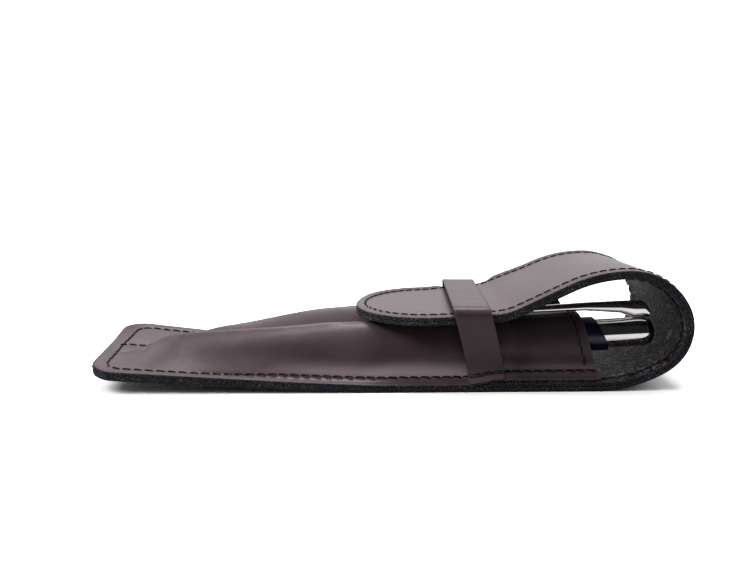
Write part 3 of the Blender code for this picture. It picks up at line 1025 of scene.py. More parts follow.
    def rise(self, x: float, side: int) -> float:
        """Height of a tunnel's ridge over the sewn edge, on the near side (-1) or the sunken far one (1)."""
        sunk = self.sag * ease((self.pen_tip_x + self.sag_length - x) / self.sag_length) if side > 0 else 0.0
        return max((self.crest(x) - self.flange_top(x) - self.curl(x, -self.tunnel_y)) * (1 - sunk), 0.0)

    def tongue_sink(self, distance: float, y: float) -> float:
        """Height that the flap drops by, because its tongue and its hump aren't quite level across.

        Args:
            distance: Distance along the strip from the mouth.
            y: Distance across it.

        Returns:
            The drop.
        """
        past_trough = distance - (self.line.length - self.tongue_length)
        across = self.across(y)
        tongue = lerp(self.near_sink, self.tongue_twist, across) * ease(past_trough / self.twist_length)
        return tongue + self.hump_sink * self.hump.at(distance) * across

    def rim_rise(self, along: float, y: float) -> float:
        """Height that the far rim turns up by, outside its seam.

        Args:
            along: Distance along the cut strip, which is X as far as the mouth.
            y: Distance across it.

        Returns:
            The height.
        """
        if along < self.mouth_x:
            share = self.rim_before_curl.at(along - self.back_end)
        else:
            share = self.rim_past_mouth.at(along - self.mouth_x)
        if share == 0.0:
            return 0.0
        far = ease((y / self.half_width - self.rim_from_middle) / self.rim_growth)
        near_edge = ease((self.rim_reach - self.edge_distance(along, y)) / self.rim_reach)
        return self.rim_lift * share * far * near_edge

    def strip_frame(self, along: float, y: float) -> tuple[Vector, Vector]:
        """Place on the strip's outer face, and the way into the leather there.

        Args:
            along: Distance along the cut strip, which is X as far as the mouth.
            y: Distance across it.

        Returns:
            The place and the inward direction.
        """
        if along <= self.mouth_x:
            level = self.curl(along, y) + self.rim_rise(along, y)
            return Vector((along + self.end_skew(along, y), y, level)), Vector((0.0, 0.0, 1.0))
        distance = along - self.mouth_x
        point, heading = self.line.at(distance)
        inward = Vector((-math.sin(heading), 0.0, math.cos(heading)))
        place = Vector((point.x, y, point.y - self.tongue_sink(distance, y)))
        from_strap = abs(place.x - self.mouth_x + self.strap_from_mouth)
        pressed = self.strap_flattens * self.under_strap.at(from_strap)
        return place - inward * (1 - pressed) * self.rim_rise(along, y), inward

    def edge_distance(self, along: float, y: float) -> float:
        """Find how far a place on the cut strip is from its cut edge.

        Args:
            along: Distance along the cut strip.
            y: Distance across it.

        Returns:
            The distance, less than 0 outside the strip.
        """
        tip_centre = self.length - self.half_width
        if along > tip_centre:
            return self.half_width - math.hypot(along - tip_centre, y)
        corner_x = self.back_end + self.corner_radius - along
        corner_y = abs(y) - self.half_width + self.corner_radius
        if corner_x > 0 and corner_y > 0:
            return self.corner_radius - math.hypot(corner_x, corner_y)
        return min(self.half_width - abs(y), along - self.back_end)

    def corner_rows(self) -> list[CutRow]:
        """Cut the two rounded corners of the free end.

        Returns:
            Rows from the end inwards.
        """
        rows = []
        for angle in spread(0.0, math.pi / 2, self.corner_steps)[:-1]:
            rows.append(CutRow(self.back_end + self.corner_radius * (1 - math.cos(angle)),
                               self.half_width - self.corner_radius * (1 - math.sin(angle)),
                               -math.cos(angle), math.sin(angle)))
        return rows


# Thread


@dataclass
class ThreadRow:
    """Row of stitches: places and normals that it runs through, and about how long its stitches are."""

    path: Sequence[tuple[Vector, Vector]]
    pitch: float

    def __post_init__(self) -> None:
        """Measure the row."""
        self.lengths = running_lengths([point for point, _ in self.path])

    def at(self, distance: float) -> tuple[Vector, Vector]:
        """Find a place on the row.

        Args:
            distance: Distance from its start.

        Returns:
            The place and the surface's normal there.
        """
        low, share = span_at(self.lengths, distance)
        (first, first_normal), (second, second_normal) = self.path[low:low + 2]
        return first.lerp(second, share), first_normal.lerp(second_normal, share).normalized()


@dataclass
class Stitcher:
    """Two-ply thread laid stitch by stitch along a row, each end drawn down into its hole."""

    radius: float = 0.22 * MM
    hole_gap: float = 0.24 * MM
    lift: float = 0.08 * MM
    sink: float = 0.32 * MM
    arch_power: float = 0.45
    slant: float = math.radians(11)
    slant_range: Pair = (0.4, 1.4)
    unevenness: float = 0.04
    end_swell: float = 0.7
    ply_twist: float = 2.2 * math.pi
    ply_depth: float = 0.14
    ring_steps: int = 8
    length_steps: int = 9
    look_ahead: float = 0.02

    def sew(self, mesh: MeshDraft, row: ThreadRow, draw: random.Random) -> int:
        """Add a row of stitches to a mesh.

        Args:
            mesh: The mesh that takes them.
            row: The row.
            draw: Source of the small differences between stitches.

        Returns:
            The number of stitches.
        """
        length = row.lengths[-1]
        count = max(1, round(length / row.pitch))
        pitch = length / count
        for i in range(count):
            start = i * pitch + self.hole_gap / 2 + draw.uniform(-self.unevenness, self.unevenness) * pitch
            end_shift = draw.uniform(-self.unevenness, self.unevenness) * pitch
            end = (i + 1) * pitch - self.hole_gap / 2 + end_shift
            self.stitch(mesh, row, (start, end), self.slant * draw.uniform(*self.slant_range))
        return count

    def stitch(self, mesh: MeshDraft, row: ThreadRow, ends: Pair, slant: float) -> None:
        """Add one stitch to a mesh.

        Args:
            mesh: The mesh that takes it.
            row: The row that it is in.
            ends: Distances along the row of its two ends.
            slant: Angle that it lies at across the row.
        """
        rings = []
        for k in range(self.length_steps):
            t = k / (self.length_steps - 1)
            point, normal = row.at(lerp(*ends, t))
            after = row.at(lerp(*ends, min(t + self.look_ahead, 1.0)))[0]
            before = row.at(lerp(*ends, max(t - self.look_ahead, 0.0)))[0]
            side = (after - before).normalized().cross(normal).normalized()
            height = lerp(-self.sink, self.lift, math.sin(math.pi * t) ** self.arch_power)
            centre = point + normal * height + side * math.tan(slant) * (t - 0.5) * (ends[1] - ends[0])
            swell = 1.0 if 0 < k < self.length_steps - 1 else self.end_swell
            ring = []
            for step in range(self.ring_steps):
                angle = 2 * math.pi * step / self.ring_steps
                plies = 1 - self.ply_depth + self.ply_depth * math.cos(2 * (angle - self.ply_twist * t))
                reach = self.radius * swell * plies
                spoke_end = centre + side * reach * math.cos(angle)
                ring.append(mesh.point(spoke_end + normal * reach * math.sin(angle)))
            rings.append(ring)
        mesh.tube(rings)


# The strip: back, bend and flap in two layers


@dataclass(frozen=True)
class BendJoint:
    """One of the folds that stand in for the bending of the strip."""

    number: int
    low_body: str
    high_body: str
    start: float
    end: float
    span: float
    hides: tuple[str, ...]
    linings: tuple[str, ...]


@dataclass
class LeatherStrip(Sheet):
    """The long strip in hide and lining, cut into one piece for each fold that it bends at."""

    form: CaseForm
    top_layer: bool = False
    row_step: float = 0.5 * MM
    near_columns: tuple[float, ...] = (0.0, 0.35, 0.8, 1.3, 1.7, 2.0, 2.3, 2.6, 2.9, 3.2, 3.5, 3.9, 4.6,
                                       6.0, 8.0)
    middle_columns: int = 13
    tip_steps: int = 62
    tip_stop: float = math.radians(1.6)
    least_half: float = 0.02 * MM
    seam_at_bend: float = 3.1 * MM
    seam_at_tongue: float = 2.6 * MM
    seam_change: float = 26.0 * MM
    seam_start: float = 0.6 * MM
    seam_steps: int = 60
    stitch_pitch: float = 2.7 * MM
    hide_fill: float = 0.14 * MM
    free_fill: float = 0.15 * MM
    glue_gap: float = 0.02 * MM
    lining_start: float = 0.6 * MM
    least_lining: float = 0.12 * MM
    past_mouth: Stretch = Stretch(-1.0, 3.0)
    hide_arris: float = 0.30 * MM
    lining_arris: float = 0.16 * MM
    rim_fall: float = 0.26 * MM
    split_headings: tuple[float, ...] = (45.0, 90.0, 135.0)
    blend_reaches: tuple[float, ...] = (8.4, 5.2, 5.2, 7.4)

    def __post_init__(self) -> None:
        """Set the columns across the strip, close together where it is sewn."""
        inside = [self.form.half_width - distance * MM for distance in self.near_columns]
        middle = spread(-inside[-1], inside[-1], self.middle_columns)[1:-1]
        columns = [-value for value in inside] + middle + inside[::-1]
        self.columns = [value / self.form.half_width for value in columns]

    def joints(self) -> list[BendJoint]:
        """Divide the strip between its folds.

        Returns:
            The folds, each with the stretch of strip that it bends.
        """
        form = self.form
        bodies = ("case", "bend_low", "bend_middle", "bend_high", "flap")
        hides = ("back_hide", "bend_hide_1", "bend_hide_2", "bend_hide_3", "flap_hide")
        linings = ("pocket_lining", "bend_lining_1", "bend_lining_2", "bend_lining_3", "flap_lining")
        splits = [form.mouth_x + form.line.where_heading(math.radians(angle))
                  for angle in self.split_headings]
        stops = [form.back_end] + splits + [form.length]
        return [BendJoint(i + 1, bodies[i], bodies[i + 1], stops[i], stops[i + 1], reach * MM,
                          hides[i:i + 2], linings[i:i + 2]) for i, reach in enumerate(self.blend_reaches)]

    def bend(self, item: bpy.types.Object, joint: BendJoint) -> None:
        """Work out where a piece's fold lies and bake the piece's place into its mesh; nothing turns it about
        the fold.

        Args:
            item: The piece.
            joint: The fold.
        """
        line = self.form.line
        fold, heading = line.at(line.where_heading(math.radians(self.form.folds[joint.number - 1])))
        ahead = Vector((math.cos(heading), 0.0, math.sin(heading))) * joint.span
        centre = Vector((fold.x, 0.0, fold.y))
        centre - ahead
        centre + ahead
        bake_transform(item)

    def rows_between(self, start: float, end: float) -> list[CutRow]:
        """Cut a stretch of the strip, with its rounded corners and its half-round tip.

        Args:
            start: Where the stretch starts along the strip.
            end: Where it ends.

        Returns:
            Its rows.
        """
        form = self.form
        corner_rows, round_rows = [], []
        if start <= form.back_end:
            corner_rows = form.corner_rows()
            start = form.back_end + form.corner_radius
        if end >= form.length - TINY:
            end = form.length - form.half_width
            for angle in spread(math.pi / 2, self.tip_stop, self.tip_steps)[1:]:
                round_rows.append(CutRow(end + form.half_width * math.cos(angle),
                                         form.half_width * math.sin(angle), math.cos(angle), math.sin(angle)))
        count = max(2, round((end - start) / self.row_step) + 1)
        straight_rows = [CutRow(along, form.half_width) for along in spread(start, end, count)]
        return corner_rows + straight_rows + round_rows

    def seam_inset(self, along: float) -> float:
        """Distance of the seam from the cut edge."""
        change = ease((along - self.form.mouth_x) / self.seam_change)
        return lerp(self.seam_at_bend, self.seam_at_tongue, change)

    def faces_at(self, along: float) -> Pair:
        """Find the layer's two faces.

        Args:
            along: Distance along the strip.

        Returns:
            Their depths below the strip's outer face.
        """
        form = self.form
        share = form.lining_share(along)
        meet = form.hide + self.hide_fill
        if not self.top_layer:
            return 0.0, meet + self.free_fill * (1 - share)
        under_panel = 1 - self.past_mouth.at(along - form.mouth_x)
        full = form.lining + self.hide_fill * under_panel
        return meet + self.glue_gap, meet + self.glue_gap + max(full * share, self.least_lining)

    def place(self, along: float, y: float, depth: float) -> Vector:
        """Find a point of the layer.

        Args:
            along: Distance along the strip.
            y: Distance across it.
            depth: Depth from its outer face, 0, to its inner one, its thickness.

        Returns:
            The point, pressed in where the seam and the worn rim are.
        """
        outer, inner = self.faces_at(along)
        point, inward = self.form.strip_frame(along, y)
        share = depth / self.thickness
        level = lerp(outer, inner, share)
        from_edge = self.form.edge_distance(along, y)
        seam_inset = self.seam_inset(along)
        pressed = groove(from_edge - seam_inset)
        past_mouth = along > self.form.mouth_x
        outer_third, inner_third = max(0.0, 1 - 3 * share), max(0.0, 3 * share - 2)
        if not self.top_layer:
            worn = self.rim_fall * ease(1 - from_edge / seam_inset) * past_mouth
            level += (pressed + worn) * outer_third
        elif past_mouth:
            level -= pressed * inner_third
        return point + inward * level

    @property
    def thickness(self) -> float:
        """Nominal thickness of the layer."""
        return self.form.lining if self.top_layer else self.form.hide

    def row_points(self, row: CutRow, inset: float, depth: float) -> list[Vector]:
        """Points across the strip on a row."""
        along, half = row.inside(inset)
        return [self.place(along, column * max(half, self.least_half), depth) for column in self.columns]

    def edge_point(self, row: CutRow, side: int, inset: float, depth: float) -> Vector:
        """Point on one cut edge of a row."""
        along, half = row.inside(inset)
        return self.place(along, side * max(half, self.least_half), depth)

    def rim_of(self, row: CutRow, point: Vector) -> float:
        """How near the cut edge a point is."""
        return 1 - ease(self.form.edge_distance(row.along, point.y) / self.rim_width)

    def build_layer(self, joint: BendJoint) -> bpy.types.Object:
        """Build the layer's piece at one fold.

        Args:
            joint: The fold.

        Returns:
            The piece.
        """
        start = joint.start
        levels = edge_levels(self.thickness, self.lining_arris if self.top_layer else self.hide_arris)
        if self.top_layer:
            start = max(start, self.form.lining_end - self.form.lining_step + self.lining_start)
            levels = [Level(level.inset, self.thickness - level.depth, level.fray)
                      for level in reversed(levels)]
        draft = self.draft(self.rows_between(start, joint.end), levels, (0, 1, 0))
        layer, finish = ("lining", Finish.LINING) if self.top_layer else ("hide", Finish.HIDE)
        item = draft.build(f"strip_{layer}_{joint.number}", (finish, Finish.EDGE))
        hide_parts(*(joint.linings if self.top_layer else joint.hides))
        self.bend(item, joint)
        return item

    def thread_places(self, joint: BendJoint, side: int) -> list[Pair]:
        """Line of the seam along one edge of a fold's stretch, round to the middle of the tongue's tip.

        Args:
            joint: The fold.
            side: -1 for the near edge and 1 for the far one.

        Returns:
            Distances along the strip and across it.
        """
        form = self.form
        start = max(joint.start, form.mouth_x + self.seam_start)
        stop = min(joint.end, form.length - form.half_width)
        places = [(along, side * (form.half_width - self.seam_inset(along)))
                  for along in spread(start, stop, max(2, round((stop - start) / self.row_step)))]
        if joint.end >= form.length - TINY:
            reach = form.half_width - self.seam_inset(form.length)
            for angle in spread(0.0, math.pi / 2, self.seam_steps)[1:]:
                places.append((stop + reach * math.sin(angle), side * reach * math.cos(angle)))
        return places

    def thread_paths(self, joint: BendJoint) -> list[ThreadRow]:
        """Lay the thread of one fold's stretch, on the flap and the bend.

        Args:
            joint: The fold.

        Returns:
            Rows of stitches on both faces and along both edges.
        """
        rows = []
        for face, way in ((0.0, -1.0), (self.form.both, 1.0)):
            for side in (-1, 1):
                path = []
                for along, y in self.thread_places(joint, side):
                    point, inward = self.form.strip_frame(along, y)
                    path.append((point + inward * face, inward * way))
                rows.append(ThreadRow(path, self.stitch_pitch))
        return rows


# The moulded panel


@dataclass
class MouldedPanel(Sheet):
    """Front panel, moulded over the pens into two tunnels, the near one on side -1 and the far one on 1.

    Stretches are places along the case, apart from those whose comment says where they are counted from.
    """

    form: CaseForm
    row_step: float = 0.55 * MM
    edge_columns: int = 12
    middle_columns: int = 7
    middle_half: float = 1.4 * MM
    fillet_steps: int = 7
    fillet_out: float = 0.7 * MM
    fillet_in: float = 0.1 * MM
    wall_steps: int = 57
    wall_from: float = math.radians(176.5)
    wall_to: float = math.radians(3.5)
    underside: float = 0.14 * MM
    arris: float = 0.30 * MM
    squareness: tuple[Pair, ...] = ((-70.0, 1.02), (-60.0, 1.1), (-45.0, 1.45), (-17.0, 1.74), (10.0, 2.20),
                                    (40.0, 2.8), (57.0, 2.9))
    inner_share: float = 0.85
    # The low fold is counted from the end seam, and its lean from the pen's point.
    fold_height: float = 1.4 * MM
    fold_rise: Stretch = Stretch(0.6, 17.0)
    fold_join: float = 0.3 * MM
    fold_join_reach: float = 1.5 * MM
    fold_lean: float = 5.2 * MM
    fold_leans: Stretch = Stretch(end=3.0, fall=14.0)
    far_start: Stretch = Stretch(-76.0, 27.0)
    far_lift: float = 0.6 * MM
    far_lifts: Stretch = Stretch(-40.0, 22.0, 4.0, 12.0)
    flare: float = 2.5 * MM
    flare_rise: float = 11 * MM
    flare_growth: float = 1.5
    flare_height: float = 5.6 * MM
    flare_full_rise: float = 10 * MM
    flare_power: float = 2.1
    drift_rise: float = 1 * MM
    crown_lean: float = 0.9 * MM
    crown_leans: Stretch = Stretch(-66.0, 22.0, 18.0, 26.0)
    crease: float = 0.50 * MM
    crease_width: float = 1.0 * MM
    creased: Stretch = Stretch(-79.0, 9.0, -11.0, 8.0)
    hollow: float = 0.20 * MM
    hollow_level: float = 0.52
    hollow_width: float = 0.2
    hollowed: Stretch = Stretch(-66.0, 14.0, 4.0, 24.0)
    # The land's start is counted from the free end.
    land_lift: float = 0.5 * MM
    land_width: float = 5 * MM
    land_start: Stretch = Stretch(2.0, 4.0)
    land_end: Stretch = Stretch(end=-52.0, fall=14.0)
    # The strap's foot is counted from its middle.
    roll_from: float = 17.9 * MM
    roll_power: float = 1.4
    roll_drops: Pair = (0.30 * MM, 0.75 * MM)
    roll_grows: Stretch = Stretch(-70.0, 85.0)
    foot_drop: float = 0.45 * MM
    under_foot: Stretch = Stretch(end=5.6, fall=0.9)
    seam_inset: float = 2.4 * MM
    end_inset: float = 4.0 * MM
    corner_seam_radius: float = 4.6 * MM
    seam_depth: float = 0.17 * MM
    seam_width: float = 0.45 * MM
    seam_below: float = 2.5 * MM
    seam_stop: float = 0.5 * MM
    seam_steps: int = 280
    corner_steps: int = 14
    end_steps: int = 60
    middle_steps: int = 300
    middle_start: float = 2.6 * MM
    mouth_seam: float = 3.0 * MM
    mouth_depth: float = 0.14 * MM
    mouth_width: float = 0.5 * MM
    mouth_overlap: Pair = (0.4 * MM, 0.9 * MM)
    mouth_look: float = 0.2 * MM
    front_pitch: float = 3.0 * MM
    middle_pitch: float = 2.85 * MM
    mouth_pitch: float = 2.75 * MM

    def power_at(self, x: float) -> float:
        """Power that makes the tunnel's section square at the mouth and pinched at its tip."""
        return 2 / through(self.squareness, x / MM)

    def rise(self, x: float, side: int) -> float:
        """Height of a tunnel's ridge, which starts on the near side as a low fold at the end seam.

        Args:
            x: Place along the case.
            side: The tunnel.

        Returns:
            The height over the sewn edge.
        """
        rise = self.form.rise(x, side)
        if side > 0:
            return rise * self.far_start.at(x) + self.far_lift * self.far_lifts.at(x)
        low_fold = self.fold_height * self.fold_rise.at(x - self.form.back_end - self.end_inset)
        if low_fold == 0.0:
            return rise
        return max(rise, low_fold) + self.fold_join * ease(1 - abs(rise - low_fold) / self.fold_join_reach)

    def ridge_drift(self, x: float, side: int) -> float:
        """Find how far a tunnel's ridge leans towards the middle of the panel.

        Args:
            x: Place along the case.
            side: The tunnel.

        Returns:
            The distance across, from the tunnel's middle.
        """
        lean = self.form.drift * (1 - ease((x - self.form.pen_tip_x) / self.form.drift_length))
        if side < 0:
            lean += self.fold_lean * self.fold_leans.at(x - self.form.pen_tip_x)
        return -side * lean

    def roll(self, x: float) -> float:
        """Drop of the near edge, which is rolled over most beside and under the strap's foot."""
        from_foot = abs(x - self.form.mouth_x + self.form.strap_from_mouth)
        return lerp(*self.roll_drops, self.roll_grows.at(x)) + self.foot_drop * self.under_foot.at(from_foot)

    def edge_drop(self, x: float, y: float, depth: float) -> float:
        """Drop of a point of the near rim at a depth below the face."""
        past = min(max((-y - self.roll_from) / (self.form.half_width - self.roll_from), 0.0), 1.0)
        return self.roll(x) * past**self.roll_power * max(0.0, 1 - depth / self.form.panel) if past else 0.0

    def section(self, x: float, depth: float, edge: float) -> list[Pair]:
        """Line across the panel at a depth below its face.

        Args:
            x: Place along the case.
            depth: Depth below the outer face.
            edge: Half the width of the sheet there.

        Returns:
            Places across and heights over the sewn edge, from the near side to the far one.
        """
        form = self.form
        narrow = min(edge / form.half_width, 1.0)
        flares = {side: self.flare * min(self.rise(x, side) / self.flare_rise, 1.0) ** self.flare_growth
                  for side in (-1, 1)}
        start, end = ((form.foot_y + flares[side] + self.fillet_out) * narrow for side in (-1, 1))
        line = [(-y, -depth) for y in spread(edge, start, self.edge_columns)]
        line += self.tunnel(x, depth, narrow, -1, flares[-1])
        line += [(y, -depth) for y in spread(-self.middle_half, self.middle_half, self.middle_columns)]
        line += self.tunnel(x, depth, narrow, 1, flares[1])
        return line + [(y, -depth) for y in spread(end, edge, self.edge_columns)]

    def tunnel(self, x: float, depth: float, narrow: float, side: int, flare: float) -> list[Pair]:
        """Line over one tunnel, with the fillets at its feet.

        Args:
            x: Place along the case.
            depth: Depth below the outer face.
            narrow: Share of its full width that the sheet has there.
            side: The tunnel.
            flare: How far its outer foot spreads.

        Returns:
            Places across and heights over the sewn edge.
        """
        form = self.form
        power, rise = self.power_at(x), self.rise(x, side)
        standing = min(rise / (3 * form.panel), 1.0)
        half = form.tunnel_half - standing * depth
        middle = side * form.tunnel_y
        drift = self.ridge_drift(x, side) * min(rise / self.drift_rise, 1.0)
        reach = self.flare_height * min(rise / self.flare_full_rise, 1.0) + LEAST_HEIGHT
        creased = self.crease * self.creased.at(x) * (side < 0)
        hollowed = self.hollow * self.hollowed.at(x)
        crowned = self.crown_lean * self.crown_leans.at(x) * (side < 0)
        wall = []
        for angle in spread(self.wall_from, self.wall_to, self.wall_steps):
            towards_middle = side > 0 and math.cos(angle) < 0
            bent = power / self.inner_share if towards_middle else power
            across = math.copysign(abs(math.cos(angle)) ** bent, math.cos(angle))
            up = math.sin(angle) ** bent
            height = rise * up
            shift = drift * up - side * crowned * up**3
            if side * across > 0:
                shift += side * flare * max(0.0, 1 - height / reach) ** self.flare_power
                shift -= side * hollowed * math.exp(-((up - self.hollow_level) / self.hollow_width) ** 2)
            height += creased * math.exp(-(across * half / self.crease_width) ** 2)
            wall.append((middle + half * across + shift, height - depth * (1 - standing + standing * up)))
        left = middle - half - (flare if side < 0 else 0.0)
        right = middle + half + (flare if side > 0 else 0.0)
        near_foot = ((left - self.fillet_out, -depth), (left - self.fillet_in, -depth), wall[0])
        far_foot = (wall[-1], (right + self.fillet_in, -depth), (right + self.fillet_out, -depth))
        line = self._fillet(near_foot) + wall + self._fillet(far_foot)
        return [(y * narrow, z) for y, z in line]

    def _fillet(self, corners: Sequence[Pair]) -> list[Pair]:
        """Round a corner off.

        Args:
            corners: Three places, of which the curve leaves the first and reaches the last.

        Returns:
            The curve's points between these two.
        """
        shares = [((1 - t) ** 2, 2 * t * (1 - t), t * t) for t in spread(0.0, 1.0, self.fillet_steps)[1:-1]]
        return [tuple(sum(w * corner[i] for w, corner in zip(share, corners)) for i in (0, 1))
                for share in shares]

    def lift(self, x: float, y: float, height: float) -> Vector:
        """Place a point of the section on the case.

        Args:
            x: Place along the case.
            y: Place across it.
            height: Height over the sewn edge.

        Returns:
            The point, with the rake of the mouth, the curl and the skew of the end.
        """
        form = self.form
        tallest = max(form.rise(x, -1), LEAST_HEIGHT)
        raked = form.mouth_rake * ease((x - form.mouth_x + form.rake_length) / form.rake_length)
        back = raked * min(max(height / tallest, 0.0), 1.0)
        land = self.land_start.at(x - form.back_end) * self.land_end.at(x)
        land *= math.exp(-(y / self.land_width) ** 2)
        level = form.flange_top(x) + form.curl(x, y) + form.rim_rise(x, y) + self.land_lift * land
        return Vector((x - back + form.end_skew(x, y), y, level + height))

    def seam_distance(self, x: float, y: float) -> float:
        """Find how far a place on the panel is from the nearest seam.

        Args:
            x: Place along the case.
            y: Place across it.

        Returns:
            The distance.
        """
        form, radius = self.form, self.corner_seam_radius
        end_x, side_y = form.back_end + self.end_inset, form.half_width - self.seam_inset
        corner_x, corner_y = end_x + radius - x, abs(y) - side_y + radius
        if corner_x > 0 and corner_y > 0:
            around = abs(radius - math.hypot(corner_x, corner_y))
        else:
            around = min(abs(abs(y) - side_y), abs(x - end_x))
        return min(around, abs(y)) if x > end_x else around

    def row_points(self, row: CutRow, inset: float, depth: float) -> list[Vector]:
        """Place the points across the panel on a row.

        Args:
            row: The row.
            inset: Distance in from the cut edge.
            depth: Depth below the face.

        Returns:
            The points, pressed in on the face where the seams are.
        """
        x, edge = row.inside(inset)
        deep = depth * (1 + self.underside / self.form.panel)
        points = []
        for y, height in self.section(x, deep, edge):
            pressed = self.edge_drop(x, y, depth)
            if depth == 0.0 and height < self.seam_below:
                pressed += groove(self.seam_distance(x, y), self.seam_depth, self.seam_width)
            elif depth == 0.0:
                pressed += groove(self.form.mouth_x - self.mouth_seam - x, self.mouth_depth, self.mouth_width)
            points.append(self.lift(x, y, height - pressed))
        return points

    def edge_point(self, row: CutRow, side: int, inset: float, depth: float) -> Vector:
        """Point on one cut edge of a row."""
        x, y = row.along - inset * row.out_along, side * (row.half - inset * row.out_across)
        return self.lift(x, y, -depth * (1 + self.underside / self.form.panel) - self.edge_drop(x, y, depth))

    def rim_of(self, row: CutRow, point: Vector) -> float:
        """How near the cut edge a point is."""
        distance = min(self.form.edge_distance(row.along, point.y), self.form.mouth_x - row.along)
        return 1 - ease(distance / self.rim_width)

    def rows(self) -> list[CutRow]:
        """Cut the panel.

        Returns:
            Rows from the rounded free end to the mouth.
        """
        form = self.form
        start = form.back_end + form.corner_radius
        count = round((form.mouth_x - start) / self.row_step) + 1
        rows = [CutRow(x, form.half_width) for x in spread(start, form.mouth_x - self.seam_stop, count)]
        return form.corner_rows() + rows + [CutRow(form.mouth_x, form.half_width, 1.0, 1.0)]

    def build(self) -> bpy.types.Object:
        """Build the panel.

        Returns:
            The panel, riding on the case.
        """
        draft = self.draft(self.rows(), edge_levels(self.form.panel, self.arris), (0, 1, 0))
        # Each point of the panel gets its painted light and painted shade.
        painted_light_and_shade = PanelPaintedLightAndShade(self)
        draft.feet = {i: painted_light_and_shade.at(point) for i, point in enumerate(draft.points)}
        item = draft.build("moulded_panel", (Finish.MOULDED, Finish.EDGE))
        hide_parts("front_panel")
        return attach(item, "case")

    def seam_path(self) -> list[Pair]:
        """Line of the seam round the panel.

        Returns:
            Places from the near end of the mouth round to the far one.
        """
        form, radius = self.form, self.corner_seam_radius
        side_y = form.half_width - self.seam_inset
        end_x, stop_x = form.back_end + self.end_inset, form.mouth_x - self.seam_stop
        places = [(x, -side_y) for x in spread(stop_x, end_x + radius, self.seam_steps)]
        for angle in spread(0.0, math.pi / 2, self.corner_steps)[1:]:
            places.append((end_x + radius * (1 - math.sin(angle)), -side_y + radius * (1 - math.cos(angle))))
        places += [(end_x, y) for y in spread(-side_y + radius, side_y - radius, self.end_steps)[1:]]
        for angle in spread(math.pi / 2, 0.0, self.corner_steps)[1:]:
            places.append((end_x + radius * (1 - math.sin(angle)), side_y - radius * (1 - math.cos(angle))))
        return places + [(x, side_y) for x in spread(end_x + radius, stop_x, self.seam_steps)[1:]]

    def on_top(self, x: float, y: float) -> Vector:
        """Find a place on the panel's face, on its sewn edge or on the foot of a tunnel.

        Args:
            x: Place along the case.
            y: Place across it.

        Returns:
            The place.
        """
        height = 0.0
        if abs(y) > self.form.foot_y:
            line = self.section(x, 0.0, self.form.half_width)
            flank = line[:len(line) // 3] if y < 0 else line[:-len(line) // 3:-1]
            for (y_out, z_out), (y_in, z_in) in zip(flank, flank[1:]):
                if abs(y_out) >= abs(y) >= abs(y_in):
                    height = lerp(z_out, z_in, (abs(y_out) - abs(y)) / max(abs(y_out) - abs(y_in), TINY))
                    break
        return self.lift(x, y, height - self.edge_drop(x, y, 0.0))

    def thread_paths(self, over_strap: Callable[[Vector], Vector]) -> list[ThreadRow]:
        """Rows of stitches round the panel, down its middle and along the mouth, on both faces.

        Args:
            over_strap: Place that a place of the seam moves to where it crosses the strap's foot.

        Returns:
            The rows.
        """
        form = self.form
        up, down = Vector((0.0, 0.0, 1.0)), Vector((0.0, 0.0, -1.0))
        around = self.seam_path()
        start_x, stop_x = form.back_end + self.middle_start, form.mouth_x - self.seam_stop
        middle = [(x, 0.0) for x in spread(start_x, stop_x, self.middle_steps)]
        rows = [ThreadRow([(over_strap(self.on_top(x, y)), up) for x, y in around], self.front_pitch),
                ThreadRow([(self.on_top(x, y), up) for x, y in middle], self.middle_pitch)]
        for places in (around, middle):
            rows.append(ThreadRow([(form.strip_frame(x, y)[0], down) for x, y in places], self.middle_pitch))
        return rows + self.mouth_rows()

    def mouth_rows(self) -> list[ThreadRow]:
        """Lay the thread over each tunnel, beside its mouth.

        Returns:
            The two rows.
        """
        form, x = self.form, self.form.mouth_x - self.mouth_seam
        here, ahead = ([self.lift(place, y, height)
                        for y, height in self.section(place, 0.0, form.half_width)]
                       for place in (x, x + self.mouth_look))
        inner_y, outer_y = form.centre_land / 2 - self.mouth_overlap[0], form.foot_y + self.mouth_overlap[1]
        rows = []
        for side in (-1, 1):
            path = []
            for i in range(1, len(here) - 1):
                if inner_y < side * here[i].y < outer_y:
                    across = here[i + 1] - here[i - 1]
                    path.append((here[i], (ahead[i] - here[i]).cross(across).normalized()))
            rows.append(ThreadRow(path, self.mouth_pitch))
        return rows


